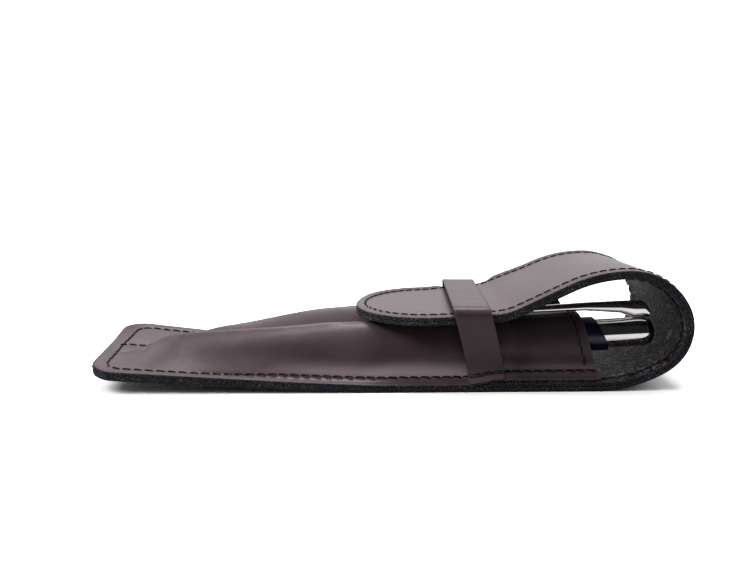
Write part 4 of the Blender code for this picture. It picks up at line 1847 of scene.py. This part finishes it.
@dataclass
class PanelPaintedLightAndShade:
    """Painted light and painted shade on the moulded panel: paler where painted light is put, darker where
    painted shade is put.

    Stretches are places along the case, apart from those whose comment says what they measure.
    """

    panel: MouldedPanel
    # Across, outwards from the near tunnel's middle and inwards from its foot.
    near_side: Stretch = Stretch(0.0, 4.0)
    foot_edge: Stretch = Stretch(-2.1, 1.2)
    # Painted light on the foot of the near wall, paler towards its bottom.
    foot_height: float = 0.7 * MM
    foot_reach: float = 5.2 * MM
    strap_reach: float = 1.0 * MM
    beside_strap: Stretch = Stretch(-8.0, 12.0, 24.0, 4.0)
    foot_grows: Stretch = Stretch(-54.0, 42.0)
    foot_least: float = 0.60
    foot_full: Stretch = Stretch(-12.0, 12.0)
    foot_fade: float = 0.5
    foot_fades: Stretch = Stretch(22.0, 6.0)
    # Painted shade on the wall beside the pen's point, from a height up, and on the wall past the strap.
    painted_shade_strength: float = 0.45
    beside_point: Stretch = Stretch(-66.0, 14.0, -30.0, 14.0)
    point_heights: Stretch = Stretch(0.6, 2.4)
    past_strap: Stretch = Stretch(31.0, 4.0)
    foot_spared: float = 0.9
    # Painted light on the far tunnel's inner wall: across from the panel's middle, across from the tunnel's,
    # and heights.
    inner_level: float = 0.28
    inner_from: Stretch = Stretch(1.5, 1.5)
    inner_to: Stretch = Stretch(end=1.0, fall=3.0)
    inner_heights: Stretch = Stretch(0.0, 3.0)
    inner_wall: Stretch = Stretch(-66.0, 16.0, 30.0, 20.0)
    # Painted highlight: the light line along the near tunnel's ridge.
    ridge_level: float = 0.26
    ridge_width: float = 0.5 * MM
    ridge_leans: Stretch = Stretch(-66.0, 22.0)
    ridge_line: Stretch = Stretch(-70.0, 6.0, -4.0, 8.0)

    def at(self, point: Vector) -> float:
        """Find how much painted light and painted shade a place gets.

        Args:
            point: Place on the panel.

        Returns:
            Up to 1 where painted light makes it pale, and down to -1 where painted shade makes it dark.
        """
        form, x, y = self.panel.form, point.x, point.y
        height = point.z - form.flange_top(x) - form.curl(x, y)
        near = self.near_side.at(-y - form.tunnel_y)
        wall = near * self.foot_edge.at(form.foot_y + y)
        fading = self.foot_reach + self.strap_reach * self.beside_strap.at(x)
        # Painted light on the near wall's foot, paler towards its bottom.
        low = 1 - ease((height - self.foot_height) / fading)
        pale = lerp(self.foot_least, 1.0, self.foot_full.at(x)) * self.foot_grows.at(x)
        pale *= 1 - self.foot_fade * self.foot_fades.at(x)
        # Painted light on the far tunnel's inner wall, and a painted highlight along the near ridge.
        far = self.inner_from.at(y) * self.inner_to.at(y - form.tunnel_y) * self.inner_heights.at(height)
        leaning = self.panel.crown_lean * self.ridge_leans.at(x)
        ridge_y = self.panel.ridge_drift(x, -1) - form.tunnel_y + leaning
        ridge = math.exp(-((y - ridge_y) / self.ridge_width) ** 2)
        lines = max(self.inner_level * far * self.inner_wall.at(x),
                    self.ridge_level * ridge * self.ridge_line.at(x))
        # Painted shade beside the pen's point and on the wall past the strap.
        dark = wall * self.beside_point.at(x) * self.point_heights.at(height)
        dark += near * self.past_strap.at(x) * (1 - self.foot_spared * wall * low)
        return max(low * wall * pale, lines) - self.painted_shade_strength * dark


# The keeper strap


@dataclass
class KeeperStrap(Sheet):
    """Narrow band over the tongue, with a foot sewn down on each long edge."""

    form: CaseForm
    width: float = 10.2 * MM
    lean: float = 5.3 * MM
    skew: float = 3.1 * MM
    side_gap: float = 0.4 * MM
    foot_over: float = 0.2 * MM
    foot_drop: float = 1.15 * MM
    foot_inner: float = 17.7 * MM
    skive: float = 0.70 * MM
    sewn_y: float = 19.6 * MM
    # Painted light on the strap's lower legs and feet, at this strength.
    foot_painted_light: float = 0.22
    resting_parts: tuple[float, ...] = (-0.5, 0.0, 0.5, 0.8)
    tongue_from: float = 0.6
    tongue_steps: int = 60
    seat_gap: float = 0.02 * MM
    wall_lean: float = 0.35 * MM
    wall_height: float = 2.2 * MM
    shoulder_layers: float = 4.0
    bend_reach: float = 1.5 * MM
    bend_steps: int = 7
    row_step: float = 0.45 * MM
    columns: tuple[float, ...] = (-1.0, -0.94, -0.86, -0.7, -0.5, -0.25, 0.0, 0.25, 0.5, 0.7, 0.86, 0.94, 1.0)
    lean_height: float = 4.5 * MM
    corner_radius: float = 1.3 * MM
    arris: float = 0.28 * MM
    painted_light_from: float = 2.4 * MM
    painted_light_over: float = 0.5 * MM
    foot_height: float = 2.6 * MM
    foot_fade: float = 0.8 * MM
    foot_from: float = 0.4
    shut_height: float = 0.6 * MM
    seam_overlap: float = 0.2 * MM
    seam_step: float = 0.7 * MM
    foot_points: int = 16

    def __post_init__(self) -> None:
        """Lay the strap's inner line over the tongue, and turn it into evenly spaced rows."""
        form = self.form
        self.foot_x = form.mouth_x - form.strap_from_mouth
        tongue = [form.line.at(distance)[0] for distance in
                  spread(form.line.length * self.tongue_from, form.line.length, self.tongue_steps)]
        tops = []
        for part in self.resting_parts:
            x = self.foot_x - self.lean + part * self.width
            tops.append(min(tongue, key=lambda point: abs(point.x - x)).y)
        self.inner_top = max(tops) + form.gap
        self.seat = form.flange_top(self.foot_x) + self.seat_gap
        self.side_y = form.half_width + self.side_gap
        wall_y = form.foot_y + form.foot_fillet + form.gap
        foot = [Vector((-form.half_width - self.foot_over, self.seat)), Vector((-wall_y, self.seat)),
                Vector((-wall_y - self.wall_lean, self.seat + self.wall_height)),
                Vector((-self.side_y, self.inner_top - self.shoulder_layers * form.strap)),
                Vector((-self.side_y, self.inner_top))]
        corners = foot + [Vector((-point.x, point.y)) for point in reversed(foot)]
        self.inner_line = resample(soft_corner(corners, self.bend_reach, self.bend_steps), self.row_step)

    def normal_at(self, index: int) -> Vector:
        """Find the outward direction of the inner line.

        Args:
            index: Number of a point on it.

        Returns:
            The direction.
        """
        before = self.inner_line[max(index - 1, 0)]
        after = self.inner_line[min(index + 1, len(self.inner_line) - 1)]
        tangent = (after - before).normalized()
        return Vector((-tangent.y, tangent.x))

    def place(self, along: float, across: float, depth: float) -> Vector:
        """Point of the strap.

        Args:
            along: Number of the point on the inner line, with its fraction.
            across: Distance from the strap's middle, along the case.
            depth: Depth below its outer face.

        Returns:
            The place.
        """
        low = min(max(int(along), 0), len(self.inner_line) - 2)
        share = along - low
        point = self.inner_line[low].lerp(self.inner_line[low + 1], share)
        normal = self.normal_at(low).lerp(self.normal_at(low + 1), share).normalized()
        at = point + normal * (self.form.strap - depth)
        risen = (at.y - self.seat) / (self.inner_top - self.seat)
        lean = -self.lean * risen + self.skew * risen * (at.x + self.side_y) / (2 * self.side_y)
        x = self.foot_x + across + lean
        near_seat = 1 - ease((at.y - self.seat) / self.lean_height)
        outer = ease((abs(point.x) - self.foot_inner) / (self.form.half_width - self.foot_inner))
        slope = (self.form.flange_top(x) - self.form.flange_top(self.foot_x)) * near_seat
        if near_seat > self.foot_from:
            slope -= (self.foot_drop + self.skive * (1 - depth / self.form.strap)) * outer
        return Vector((x, at.x, at.y + slope))

    def row_points(self, row: CutRow, inset: float, depth: float) -> list[Vector]:
        """Points across the strap on a row."""
        along, half = row.inside(inset)
        return [self.place(along, column * half, depth) for column in self.columns]

    def edge_point(self, row: CutRow, side: int, inset: float, depth: float) -> Vector:
        """Point on one cut edge of a row."""
        along, half = row.inside(inset)
        return self.place(along, side * half, depth)

    def rim_of(self, row: CutRow, point: Vector) -> float:
        """How near the cut edge a point is."""
        middle = self.place(row.along, 0.0, 0.0)
        return 1 - ease((row.half - abs(point.x - middle.x)) / self.rim_width)

    def rows(self) -> list[CutRow]:
        """Cut the strap.

        Returns:
            Rows from the near foot to the far one, with the feet's corners rounded.
        """
        last = len(self.inner_line) - 1
        step = (self.inner_line[1] - self.inner_line[0]).length
        radius = self.corner_radius
        rows = []
        for i in range(last + 1):
            into_corner = max(0.0, radius - min(i, last - i) * step)
            half = self.width / 2 - radius + math.sqrt(max(radius**2 - into_corner**2, 0.0))
            rows.append(CutRow(float(i), half))
        return rows

    def painted_light_at(self, point: Vector) -> float:
        """Find how much painted light lightens the strap's lower legs and feet.

        Args:
            point: The place.

        Returns:
            Its share of the painted light colour.
        """
        seam_y = self.form.half_width - self.painted_light_from
        out = ease((abs(point.y) - seam_y) / self.painted_light_over)
        return self.foot_painted_light * out * ease((self.seat + self.foot_height - point.z) / self.foot_fade)

    def build(self) -> bpy.types.Object:
        """Build the strap; how far it would sink on to the tunnels once the tongue has left it is worked out
        but not used.

        Returns:
            The strap.
        """
        draft = self.draft(self.rows(), edge_levels(self.form.strap, self.arris), (0, 1, 0))
        # Painted light on the strap's lower legs and feet.
        draft.feet = {i: self.painted_light_at(point) for i, point in enumerate(draft.points)}
        item = draft.build("keeper_band", (Finish.STRAP, Finish.EDGE))
        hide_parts("keeper_strap")
        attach(item, "case")
        crest = self.form.crest(self.foot_x)
        keep = (crest + self.shut_height - self.seat) / (self.inner_top - self.seat)
        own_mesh(item)
        return item

    def over_foot(self, place: Vector) -> Vector:
        """Lead the seam through the strap's feet.

        Args:
            place: Place of the seam.

        Returns:
            The place on the strap's foot there, and the same place beside it.
        """
        across = place.x - self.foot_x
        reach = self.width / 2 + self.seam_overlap
        if abs(across) > reach:
            return place
        last = len(self.inner_line) - 1
        outer = [self.place(float(i if place.y < 0 else last - i), across, 0.0)
                 for i in range(self.foot_points)]
        foot = [point for point in outer if point.z < self.seat + self.foot_height]
        sewn = min(foot, key=lambda point: abs(abs(point.y) - self.sewn_y))
        return place.lerp(Vector((place.x, sewn.y, sewn.z)), ease((reach - abs(across)) / self.seam_step))


# Loose fibres of the cut edges


@dataclass
class EdgeFibres:
    """Short fibres that stand out of the cut edges, and a tuft at the near corner of the free end."""

    form: CaseForm
    seed: int = 11
    radius: float = 0.035 * MM
    taper: float = 0.75
    bend: float = 0.6
    askew: Place = (0.31, 0.2, 0.93)
    rings: int = 4
    ring_angles: tuple[float, ...] = (0.0, 2.094, 4.189)
    count: int = 420
    lengths: Pair = (0.18 * MM, 0.5 * MM)
    heights: Pair = (0.1, 0.95)
    rooted: float = 0.06 * MM
    tuft_count: int = 46
    tuft_lengths: Pair = (0.4 * MM, 1.2 * MM)
    tuft_angles: Pair = (8.0, 50.0)
    tuft_heights: Pair = (1.4 * MM, 2.8 * MM)
    tuft_rooted: float = 0.1 * MM

    def strand(self, mesh: MeshDraft, root: Vector, way: Vector, length: float, draw: random.Random) -> None:
        """Add one bent, tapering fibre.

        Args:
            mesh: The mesh that takes it.
            root: Where it stands.
            way: The way that it starts.
            length: Its length.
            draw: Source of its bend.
        """
        side = way.cross(Vector(self.askew)).normalized()
        over = way.cross(side).normalized()
        bend = side * draw.uniform(-self.bend, self.bend) + over * draw.uniform(-self.bend, self.bend)
        rings = []
        for t in spread(0.0, 1.0, self.rings):
            centre = root + way * length * t + bend * length * t * t
            reach = self.radius * (1 - self.taper * t)
            rings.append([mesh.point(centre + side * reach * math.cos(a) + over * reach * math.sin(a))
                          for a in self.ring_angles])
        mesh.tube(rings)

    def edge_strand(self, mesh: MeshDraft, draw: random.Random) -> None:
        """Add one fibre to a long cut edge.

        Args:
            mesh: The mesh that takes it.
            draw: Source of its place and shape.
        """
        form = self.form
        x = draw.uniform(form.back_end + form.corner_radius, form.mouth_x)
        side = draw.choice((-1, -1, 1))
        height = draw.uniform(*self.heights) * form.flange_top(x)
        root = Vector((x + form.end_skew(x, side * form.half_width), side * (form.half_width - self.rooted),
                       form.curl(x, side * form.half_width) + height))
        way = Vector((draw.uniform(-0.7, 0.7), side, draw.uniform(-0.5, 0.5))).normalized()
        self.strand(mesh, root, way, draw.uniform(*self.lengths), draw)

    def tuft_strand(self, mesh: MeshDraft, draw: random.Random) -> None:
        """Add one fibre to the tuft at the near corner of the free end.

        Args:
            mesh: The mesh that takes it.
            draw: Source of its place and shape.
        """
        form, radius = self.form, self.form.corner_radius
        angle = math.radians(draw.uniform(*self.tuft_angles))
        x = form.back_end + radius * (1 - math.cos(angle))
        y = -form.half_width + radius * (1 - math.sin(angle))
        root = Vector((x + self.tuft_rooted, y + self.tuft_rooted,
                       form.curl(x, y) + draw.uniform(*self.tuft_heights)))
        way = Vector((-1.0, draw.uniform(-0.9, -0.1), draw.uniform(-0.2, 0.5))).normalized()
        self.strand(mesh, root, way, draw.uniform(*self.tuft_lengths), draw)

    def build(self) -> bpy.types.Object:
        """Build the fibres of the part of the case that doesn't bend.

        Returns:
            The fibres, riding on the case.
        """
        draw, mesh = random.Random(self.seed), MeshDraft()
        for _ in range(self.count):
            self.edge_strand(mesh, draw)
        for _ in range(self.tuft_count):
            self.tuft_strand(mesh, draw)
        item = mesh.build("edge_fibres", (Finish.EDGE,))
        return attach(item, "case")


# The pen


@dataclass
class Pen:
    """Clipped pen: navy barrel, chrome tube and clip, dark dome, and a nose and point inside the tunnel.

    Profiles are places along the axis, radii, and how far each ring slants. The hidden part of the barrel is
    in millimetres from the mouth, and the clip's stations in millimetres from its root: half widths, and its
    underside and back from the levels that the words name.
    """

    form: CaseForm
    tube_radius: float = 4.2 * MM
    dome_length: float = 2.3 * MM
    dome_power: float = 0.8
    dome_turn: float = math.radians(86)
    joint_from_end: float = 15.4 * MM
    joint_slant: float = 2.1 * MM
    slant_from: float = 22 * MM
    barrel_lip: float = 0.25 * MM
    piece_gap: float = 0.15 * MM
    collar_inset: float = 0.4 * MM
    shoulder_radius: float = 2.25 * MM
    hidden: tuple[Pair, ...] = ((-94.0, 2.55), (-84.0, 3.0), (-74.0, 3.25), (-59.0, 3.55), (-47.0, 4.15),
                                (-34.0, 4.55), (-22.0, 4.75), (-9.0, 4.72), (-3.3, 4.76), (-0.5, 5.0))
    nose_radius: float = 2.1 * MM
    nose_end: float = 0.35 * MM
    nose_power: float = 0.8
    clip_length: float = 40.0 * MM
    clip_from_end: float = 1.7 * MM
    clip_depth: float = 2.3 * MM
    clip_steps: int = 8
    clip_sides: int = 28
    clip_roundness: Pair = (0.85, 0.9)
    steps: int = 96
    sharp: float = 30.0
    clip_sharp: float = 50.0

    def __post_init__(self) -> None:
        """Set the pen's axis and the places along it."""
        form = self.form
        tilt = Matrix.Rotation(-form.pen_tilt, 4, "Y")
        self.frame = Matrix.Translation((form.mouth_x, -form.tunnel_y, form.pen_height)) @ tilt
        self.end = (form.pen_end_x - form.mouth_x) / math.cos(form.pen_tilt)
        self.joint = self.end - self.joint_from_end
        self.tip_root = self.end - form.pen_length + form.pen_tip_length
        self.nose_root = self.tip_root + form.pen_nose_length
        self.dome_root = self.end - self.dome_length
        knots = [(place * MM, radius * MM) for place, radius in self.hidden]
        self.hidden_radii = [(self.nose_root, self.shoulder_radius)] + knots

    def turned(self, name: str, profile: Profile, finish: Finish,
               nodes: Sequence[str]) -> bpy.types.Object:
        """Build a round piece.

        Args:
            name: Its name.
            profile: Places along the axis, radii and how far each ring slants.
            finish: Its finish.
            nodes: The CAD nodes that it stands for.

        Returns:
            The piece.
        """
        mesh = MeshDraft()
        rings = []
        for place, radius, slant in profile:
            ring = []
            for step in range(self.steps):
                angle = 2 * math.pi * step / self.steps
                up = math.sin(angle)
                at = Vector((place - slant * up, radius * math.cos(angle), radius * up))
                ring.append(mesh.point(self.frame @ at))
            rings.append(ring)
        mesh.tube(rings, inward=True)
        item = mesh.build(name, (finish,), sharp=self.sharp)
        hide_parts(*nodes)
        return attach(item, "pen")

    def barrel_profile(self) -> Profile:
        """Draw the barrel, from its hidden shoulder to its slanted joint with the tube.

        Returns:
            Its profile.
        """
        radius, slant, start = self.form.pen_radius, self.joint_slant, self.nose_root + 0.4 * MM
        profile = [(self.nose_root + self.piece_gap, self.shoulder_radius - self.barrel_lip, 0.0),
                   (start, self.shoulder_radius, 0.0)]
        for t in spread(0.0, 1.0, 26)[1:]:
            place = lerp(start, self.joint - 0.5 * MM, t)
            slanted = slant * ease((place + self.slant_from) / (self.joint + self.slant_from))
            profile.append((place, through(self.hidden_radii, place), slanted))
        return profile + [(self.joint - 0.22 * MM, radius - 0.08 * MM, slant),
                          (self.joint - 0.12 * MM, radius - self.barrel_lip, slant)]

    def tube_profile(self) -> Profile:
        """Draw the chrome tube, from the slanted joint to the dome.

        Returns:
            Its profile.
        """
        radius, slant = self.tube_radius, self.joint_slant
        profile = [(self.joint - 0.06 * MM, radius - self.barrel_lip, slant), (self.joint, radius, slant)]
        profile += [(lerp(self.joint, self.dome_root - 0.5 * MM, t), radius, slant * (1 - t))
                    for t in spread(0.0, 1.0, 8)[1:]]
        return profile + [(self.dome_root - 0.25 * MM, radius - 0.08 * MM, 0.0),
                          (self.dome_root - self.piece_gap, radius - 0.3 * MM, 0.0)]

    def dome_profile(self) -> Profile:
        """Draw the dark dome at the end.

        Returns:
            Its profile.
        """
        collar, start = self.tube_radius - self.collar_inset, self.dome_root + self.piece_gap
        profile = [(self.dome_root - 0.05 * MM, collar - 0.1 * MM, 0.0), (start, collar, 0.0)]
        for angle in spread(0.0, self.dome_turn, 12)[1:]:
            profile.append((start + (self.dome_length - self.piece_gap) * math.sin(angle),
                            collar * math.cos(angle) ** self.dome_power, 0.0))
        return profile

    def nose_profile(self) -> Profile:
        """Draw the nose cone inside the tunnel.

        Returns:
            Its profile.
        """
        start, end = self.tip_root + self.piece_gap, self.nose_root - self.piece_gap
        thin = self.form.pen_tip_radius + self.nose_end
        return [(lerp(start, end, t), thin + (self.nose_radius - thin) * t**self.nose_power, 0.0)
                for t in spread(0.0, 1.0, 14)]

    def point_profile(self) -> Profile:
        """Draw the writing point inside the tunnel.

        Returns:
            Its profile.
        """
        end, radius = self.tip_root - self.form.pen_tip_length, self.form.pen_tip_radius
        return [(end, radius * 0.35, 0.0), (end + 0.5 * MM, radius * 0.8, 0.0),
                (self.tip_root - self.piece_gap, radius, 0.0)]

    def build(self) -> list[bpy.types.Object]:
        """Build every piece of the pen.

        Returns:
            The pieces.
        """
        return [self.turned("barrel", self.barrel_profile(), Finish.NAVY, ("pen_barrel",)),
                self.turned("chrome_tube", self.tube_profile(), Finish.CHROME, ("pen_tube",)),
                self.turned("end_dome", self.dome_profile(), Finish.BLACK, ("pen_end_dome",)),
                self.turned("nose_cone", self.nose_profile(), Finish.CHROME, ("pen_nose",)),
                self.turned("writing_point", self.point_profile(), Finish.CHROME, ("pen_tip",)),
                self.build_clip()]

    def clip_stations(self) -> list[tuple[float, float, float, float]]:
        """Lay out the clip.

        Returns:
            Places along the axis, half widths, and heights of its underside and its back.
        """
        form = self.form
        leather = form.pen_radius + form.gap + form.panel + form.rooms[0] + form.gap
        back, tube = leather + self.clip_depth, self.tube_radius
        root = self.end - self.clip_from_end
        free_end = root - self.clip_length
        shape = ((free_end, 0.0, 0.75, leather, 0.45, leather, 0.9),
                 (free_end, 0.7, 1.25, leather, 0.0, leather, 1.45),
                 (free_end, 4.0, 1.5, leather, 0.15, leather, 1.75),
                 (free_end, 9.0, 1.7, leather, 0.1, back, -0.35),
                 (root, -18.5, 2.0, leather, 0.0, back, 0.0),
                 (root, -12.0, 2.1, leather, -0.7, back, 0.0),
                 (root, -8.0, 2.1, leather, -1.2, back, 0.0),
                 (root, -5.2, 2.1, tube, 0.5, back, 0.0),
                 (root, -4.4, 2.1, tube, 0.15, back, 0.0),
                 (root, -1.5, 2.1, tube, 0.15, back, -0.1),
                 (root, -0.8, 2.08, tube, 0.15, back, -0.75),
                 (root, 0.0, 2.0, tube, 0.2, back, -2.1))
        return [(place + along * MM, half * MM, low + under * MM, high + over * MM)
                for place, along, half, low, under, high, over in shape]

    def build_clip(self) -> bpy.types.Object:
        """Build the clip: a crowned bar that tapers to its free end and is cranked down on the tube.

        Returns:
            The clip, riding on the pen.
        """
        mesh, stations = MeshDraft(), self.clip_stations()
        rings = [self._clip_ring(mesh, stations[0])]
        for first, second in zip(stations, stations[1:]):
            for t in spread(0.0, 1.0, self.clip_steps + 1)[1:]:
                rings.append(self._clip_ring(mesh, [lerp(a, b, t) for a, b in zip(first, second)]))
        mesh.tube(rings, inward=True)
        item = mesh.build("clip_bar", (Finish.CHROME,), sharp=self.clip_sharp)
        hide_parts("pen_clip")
        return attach(item, "pen")

    def _clip_ring(self, mesh: MeshDraft, station: Sequence[float]) -> list[int]:
        """Add the rounded section of the clip at one place.

        Args:
            mesh: The mesh that takes it.
            station: Place along the axis, half width, and heights of the underside and the back.

        Returns:
            Its points.
        """
        place, half, low, high = station
        middle, reach = (low + high) / 2, (high - low) / 2
        ring = []
        for step in range(self.clip_sides):
            angle = 2 * math.pi * step / self.clip_sides
            across = math.copysign(abs(math.cos(angle)) ** self.clip_roundness[0], math.cos(angle))
            up = math.copysign(abs(math.sin(angle)) ** self.clip_roundness[1], math.sin(angle))
            ring.append(mesh.point(self.frame @ Vector((place, half * across, middle + reach * up))))
        return ring


# Studio


@dataclass(frozen=True)
class Softbox:
    """Soft lamp that faces the middle of the case."""

    name: str
    place: Place
    size: Pair
    watts: float

    def build(self) -> None:
        """Hang the lamp."""
        data = bpy.data.lights.new(self.name, "AREA")
        data.shape = "RECTANGLE"
        data.size, data.size_y = self.size
        data.energy = self.watts
        item = bpy.data.objects.new(self.name, data)
        item.location = self.place
        item.rotation_euler = (-Vector(self.place)).to_track_quat("-Z", "Y").to_euler()
        bpy.context.scene.collection.objects.link(item)


@dataclass
class Studio:
    """Camera at the photograph's angle, pale floor and soft light."""

    picture: tuple[int, int] = (753, 565)
    focal_pixels: float = 755.0
    sensor: float = 36.0
    camera_at: Place = (-0.0179, -0.2173, 0.0681)
    yaw: float = math.radians(3.58)
    pitch: float = math.radians(10.75)
    roll: float = math.radians(0.79)
    plain_level: float = 0.88
    front_level: float = 0.02
    brighter_side: Place = (0.0, 0.45, 0.89)
    brighter_from: Pair = (-0.1, 0.95)
    front_gloss: float = 0.015
    glossy_side: Place = (0.0, 0.8, 0.6)
    glossy_from: Pair = (0.12, 0.62)
    floor_reach: float = 1.5
    floor_fade: Pair = (0.26, 0.75)
    floor_plain: Pair = (0.26, 0.24)
    floor_mirrored: float = 0.65
    floor_seen: float = 1.75
    floor_tooth: float = 60 * MM
    lamps: tuple[Softbox, ...] = (Softbox("top_softbox", (0.02, 0.16, 0.62), (0.40, 0.28), 2.6),
                                  Softbox("left_softbox", (-0.56, -0.17, 0.50), (0.30, 0.30), 2.5))

    def build(self) -> None:
        """Build all of the studio."""
        self.camera()
        self.world()
        self.floor()
        for lamp in self.lamps:
            lamp.build()

    def camera(self) -> None:
        """Set the camera."""
        data = bpy.data.cameras.new("camera")
        data.sensor_width = self.sensor
        data.lens = self.focal_pixels / self.picture[0] * data.sensor_width
        item = bpy.data.objects.new("camera", data)
        bpy.context.scene.collection.objects.link(item)
        ahead = Vector((math.sin(self.yaw) * math.cos(self.pitch), math.cos(self.yaw) * math.cos(self.pitch),
                        -math.sin(self.pitch)))
        right = Vector((math.cos(self.yaw), -math.sin(self.yaw), 0.0))
        up = right.cross(ahead)
        turned_right = right * math.cos(self.roll) + up * math.sin(self.roll)
        turned_up = up * math.cos(self.roll) - right * math.sin(self.roll)
        place = Matrix((turned_right, turned_up, -ahead)).transposed().to_4x4()
        place.translation = Vector(self.camera_at)
        item.matrix_world = place
        bpy.context.scene.camera = item

    def world(self) -> None:
        """Soft white surroundings, dimmer on the side that the viewer stands on."""
        world = bpy.data.worlds.new("studio")
        bpy.context.scene.world = world
        graph = Graph(world)
        path = {name: graph.node("ShaderNodeLightPath", output=f"Is {name} Ray")
                for name in ("Camera", "Glossy", "Transmission")}
        way = graph.node("ShaderNodeTexCoord", output="Generated", kind=Kind.VECTOR)
        bright = way.dot(self.brighter_side).above(*self.brighter_from)
        behind = way.dot(self.glossy_side).above(*self.glossy_from)
        mirrored = path["Glossy"] * (self.front_gloss + (1.0 - self.front_gloss) * behind)
        shown = mirrored.larger(path["Camera"].larger(path["Transmission"]))
        level = self.front_level + (self.plain_level - self.front_level) * bright
        lit = shown.larger((1.0 - path["Glossy"]) * level)
        graph.close(graph.node("ShaderNodeBackground", {}, {"Color": (1.0, 1.0, 1.0), "Strength": lit}))
        bpy.context.scene.view_settings.view_transform = "Standard"

    def floor(self) -> None:
        """Pale floor that keeps the case's shadow."""
        graph = new_graph("pale_floor")
        place = graph.node("ShaderNodeTexCoord", output="Object", kind=Kind.VECTOR)
        seen = graph.node("ShaderNodeLightPath", output="Is Camera Ray")
        mirrored = graph.node("ShaderNodeLightPath", output="Is Glossy Ray")
        tooth = graph.noise(place, self.floor_tooth)
        plain = graph.mix(tooth * 0.2, *((level,) * 3 for level in self.floor_plain))
        unseen = graph.mix(mirrored, plain, (self.floor_mirrored,) * 3)
        paper = graph.node("ShaderNodeBsdfPrincipled", {}, {
            "Base Color": graph.mix(seen, unseen, (self.floor_seen,) * 3), "Roughness": 0.9,
            "Specular IOR Level": 0.0})
        away = graph.node("ShaderNodeVectorMath", {"operation": "LENGTH"}, {0: place}, output="Value")
        clear = graph.node("ShaderNodeBsdfTransparent")
        faded = away.above(*self.floor_fade)
        graph.close(graph.node("ShaderNodeMixShader", {}, {0: faded, 1: paper, 2: clear}))
        mesh = bpy.data.meshes.new("floor")
        reach = self.floor_reach
        mesh.from_pydata([(-reach, -reach, 0), (reach, -reach, 0), (reach, reach, 0), (-reach, reach, 0)], [],
                         [(0, 1, 2, 3)])
        mesh.materials.append(graph.owner)
        item = bpy.data.objects.new("floor", mesh)
        bpy.context.scene.collection.objects.link(item)


# Assembly


PANEL_SEED = 5
STRIP_SEED = 20
THREAD_SHARP = 60.0


def sew(name: str, rows: Sequence[ThreadRow], seed: int) -> bpy.types.Object:
    """Make one piece of thread.

    Args:
        name: Its name.
        rows: Its rows of stitches.
        seed: Seed of the small differences between stitches.

    Returns:
        The piece.
    """
    mesh, stitcher, draw = MeshDraft(), Stitcher(), random.Random(seed)
    count = sum(stitcher.sew(mesh, row, draw) for row in rows)
    log.info("%s: %d stitches", name, count)
    return mesh.build(name, (Finish.THREAD,), sharp=THREAD_SHARP)


def report(item: bpy.types.Object) -> None:
    """Log a piece that is ready."""
    log.info("%s: %d faces", item.name, len(item.data.polygons))


def main() -> None:
    """Build the studio and every piece of the case in order."""
    logging.basicConfig(level=logging.INFO, format="%(name)s: %(message)s")
    Studio().build()
    form = CaseForm()
    hide, lining = LeatherStrip(form), LeatherStrip(form, top_layer=True)
    for strip in (hide, lining):
        for joint in strip.joints():
            report(strip.build_layer(joint))
    panel, strap = MouldedPanel(form), KeeperStrap(form)
    report(panel.build())
    report(strap.build())
    thread = sew("panel_thread", panel.thread_paths(strap.over_foot), PANEL_SEED)
    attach(thread, "case")
    for joint in hide.joints():
        thread = sew(f"strip_thread_{joint.number}", hide.thread_paths(joint), STRIP_SEED + joint.number)
        hide.bend(thread, joint)
    report(EdgeFibres(form).build())
    for item in Pen(form).build():
        report(item)


if __name__ == "__main__":
    main()
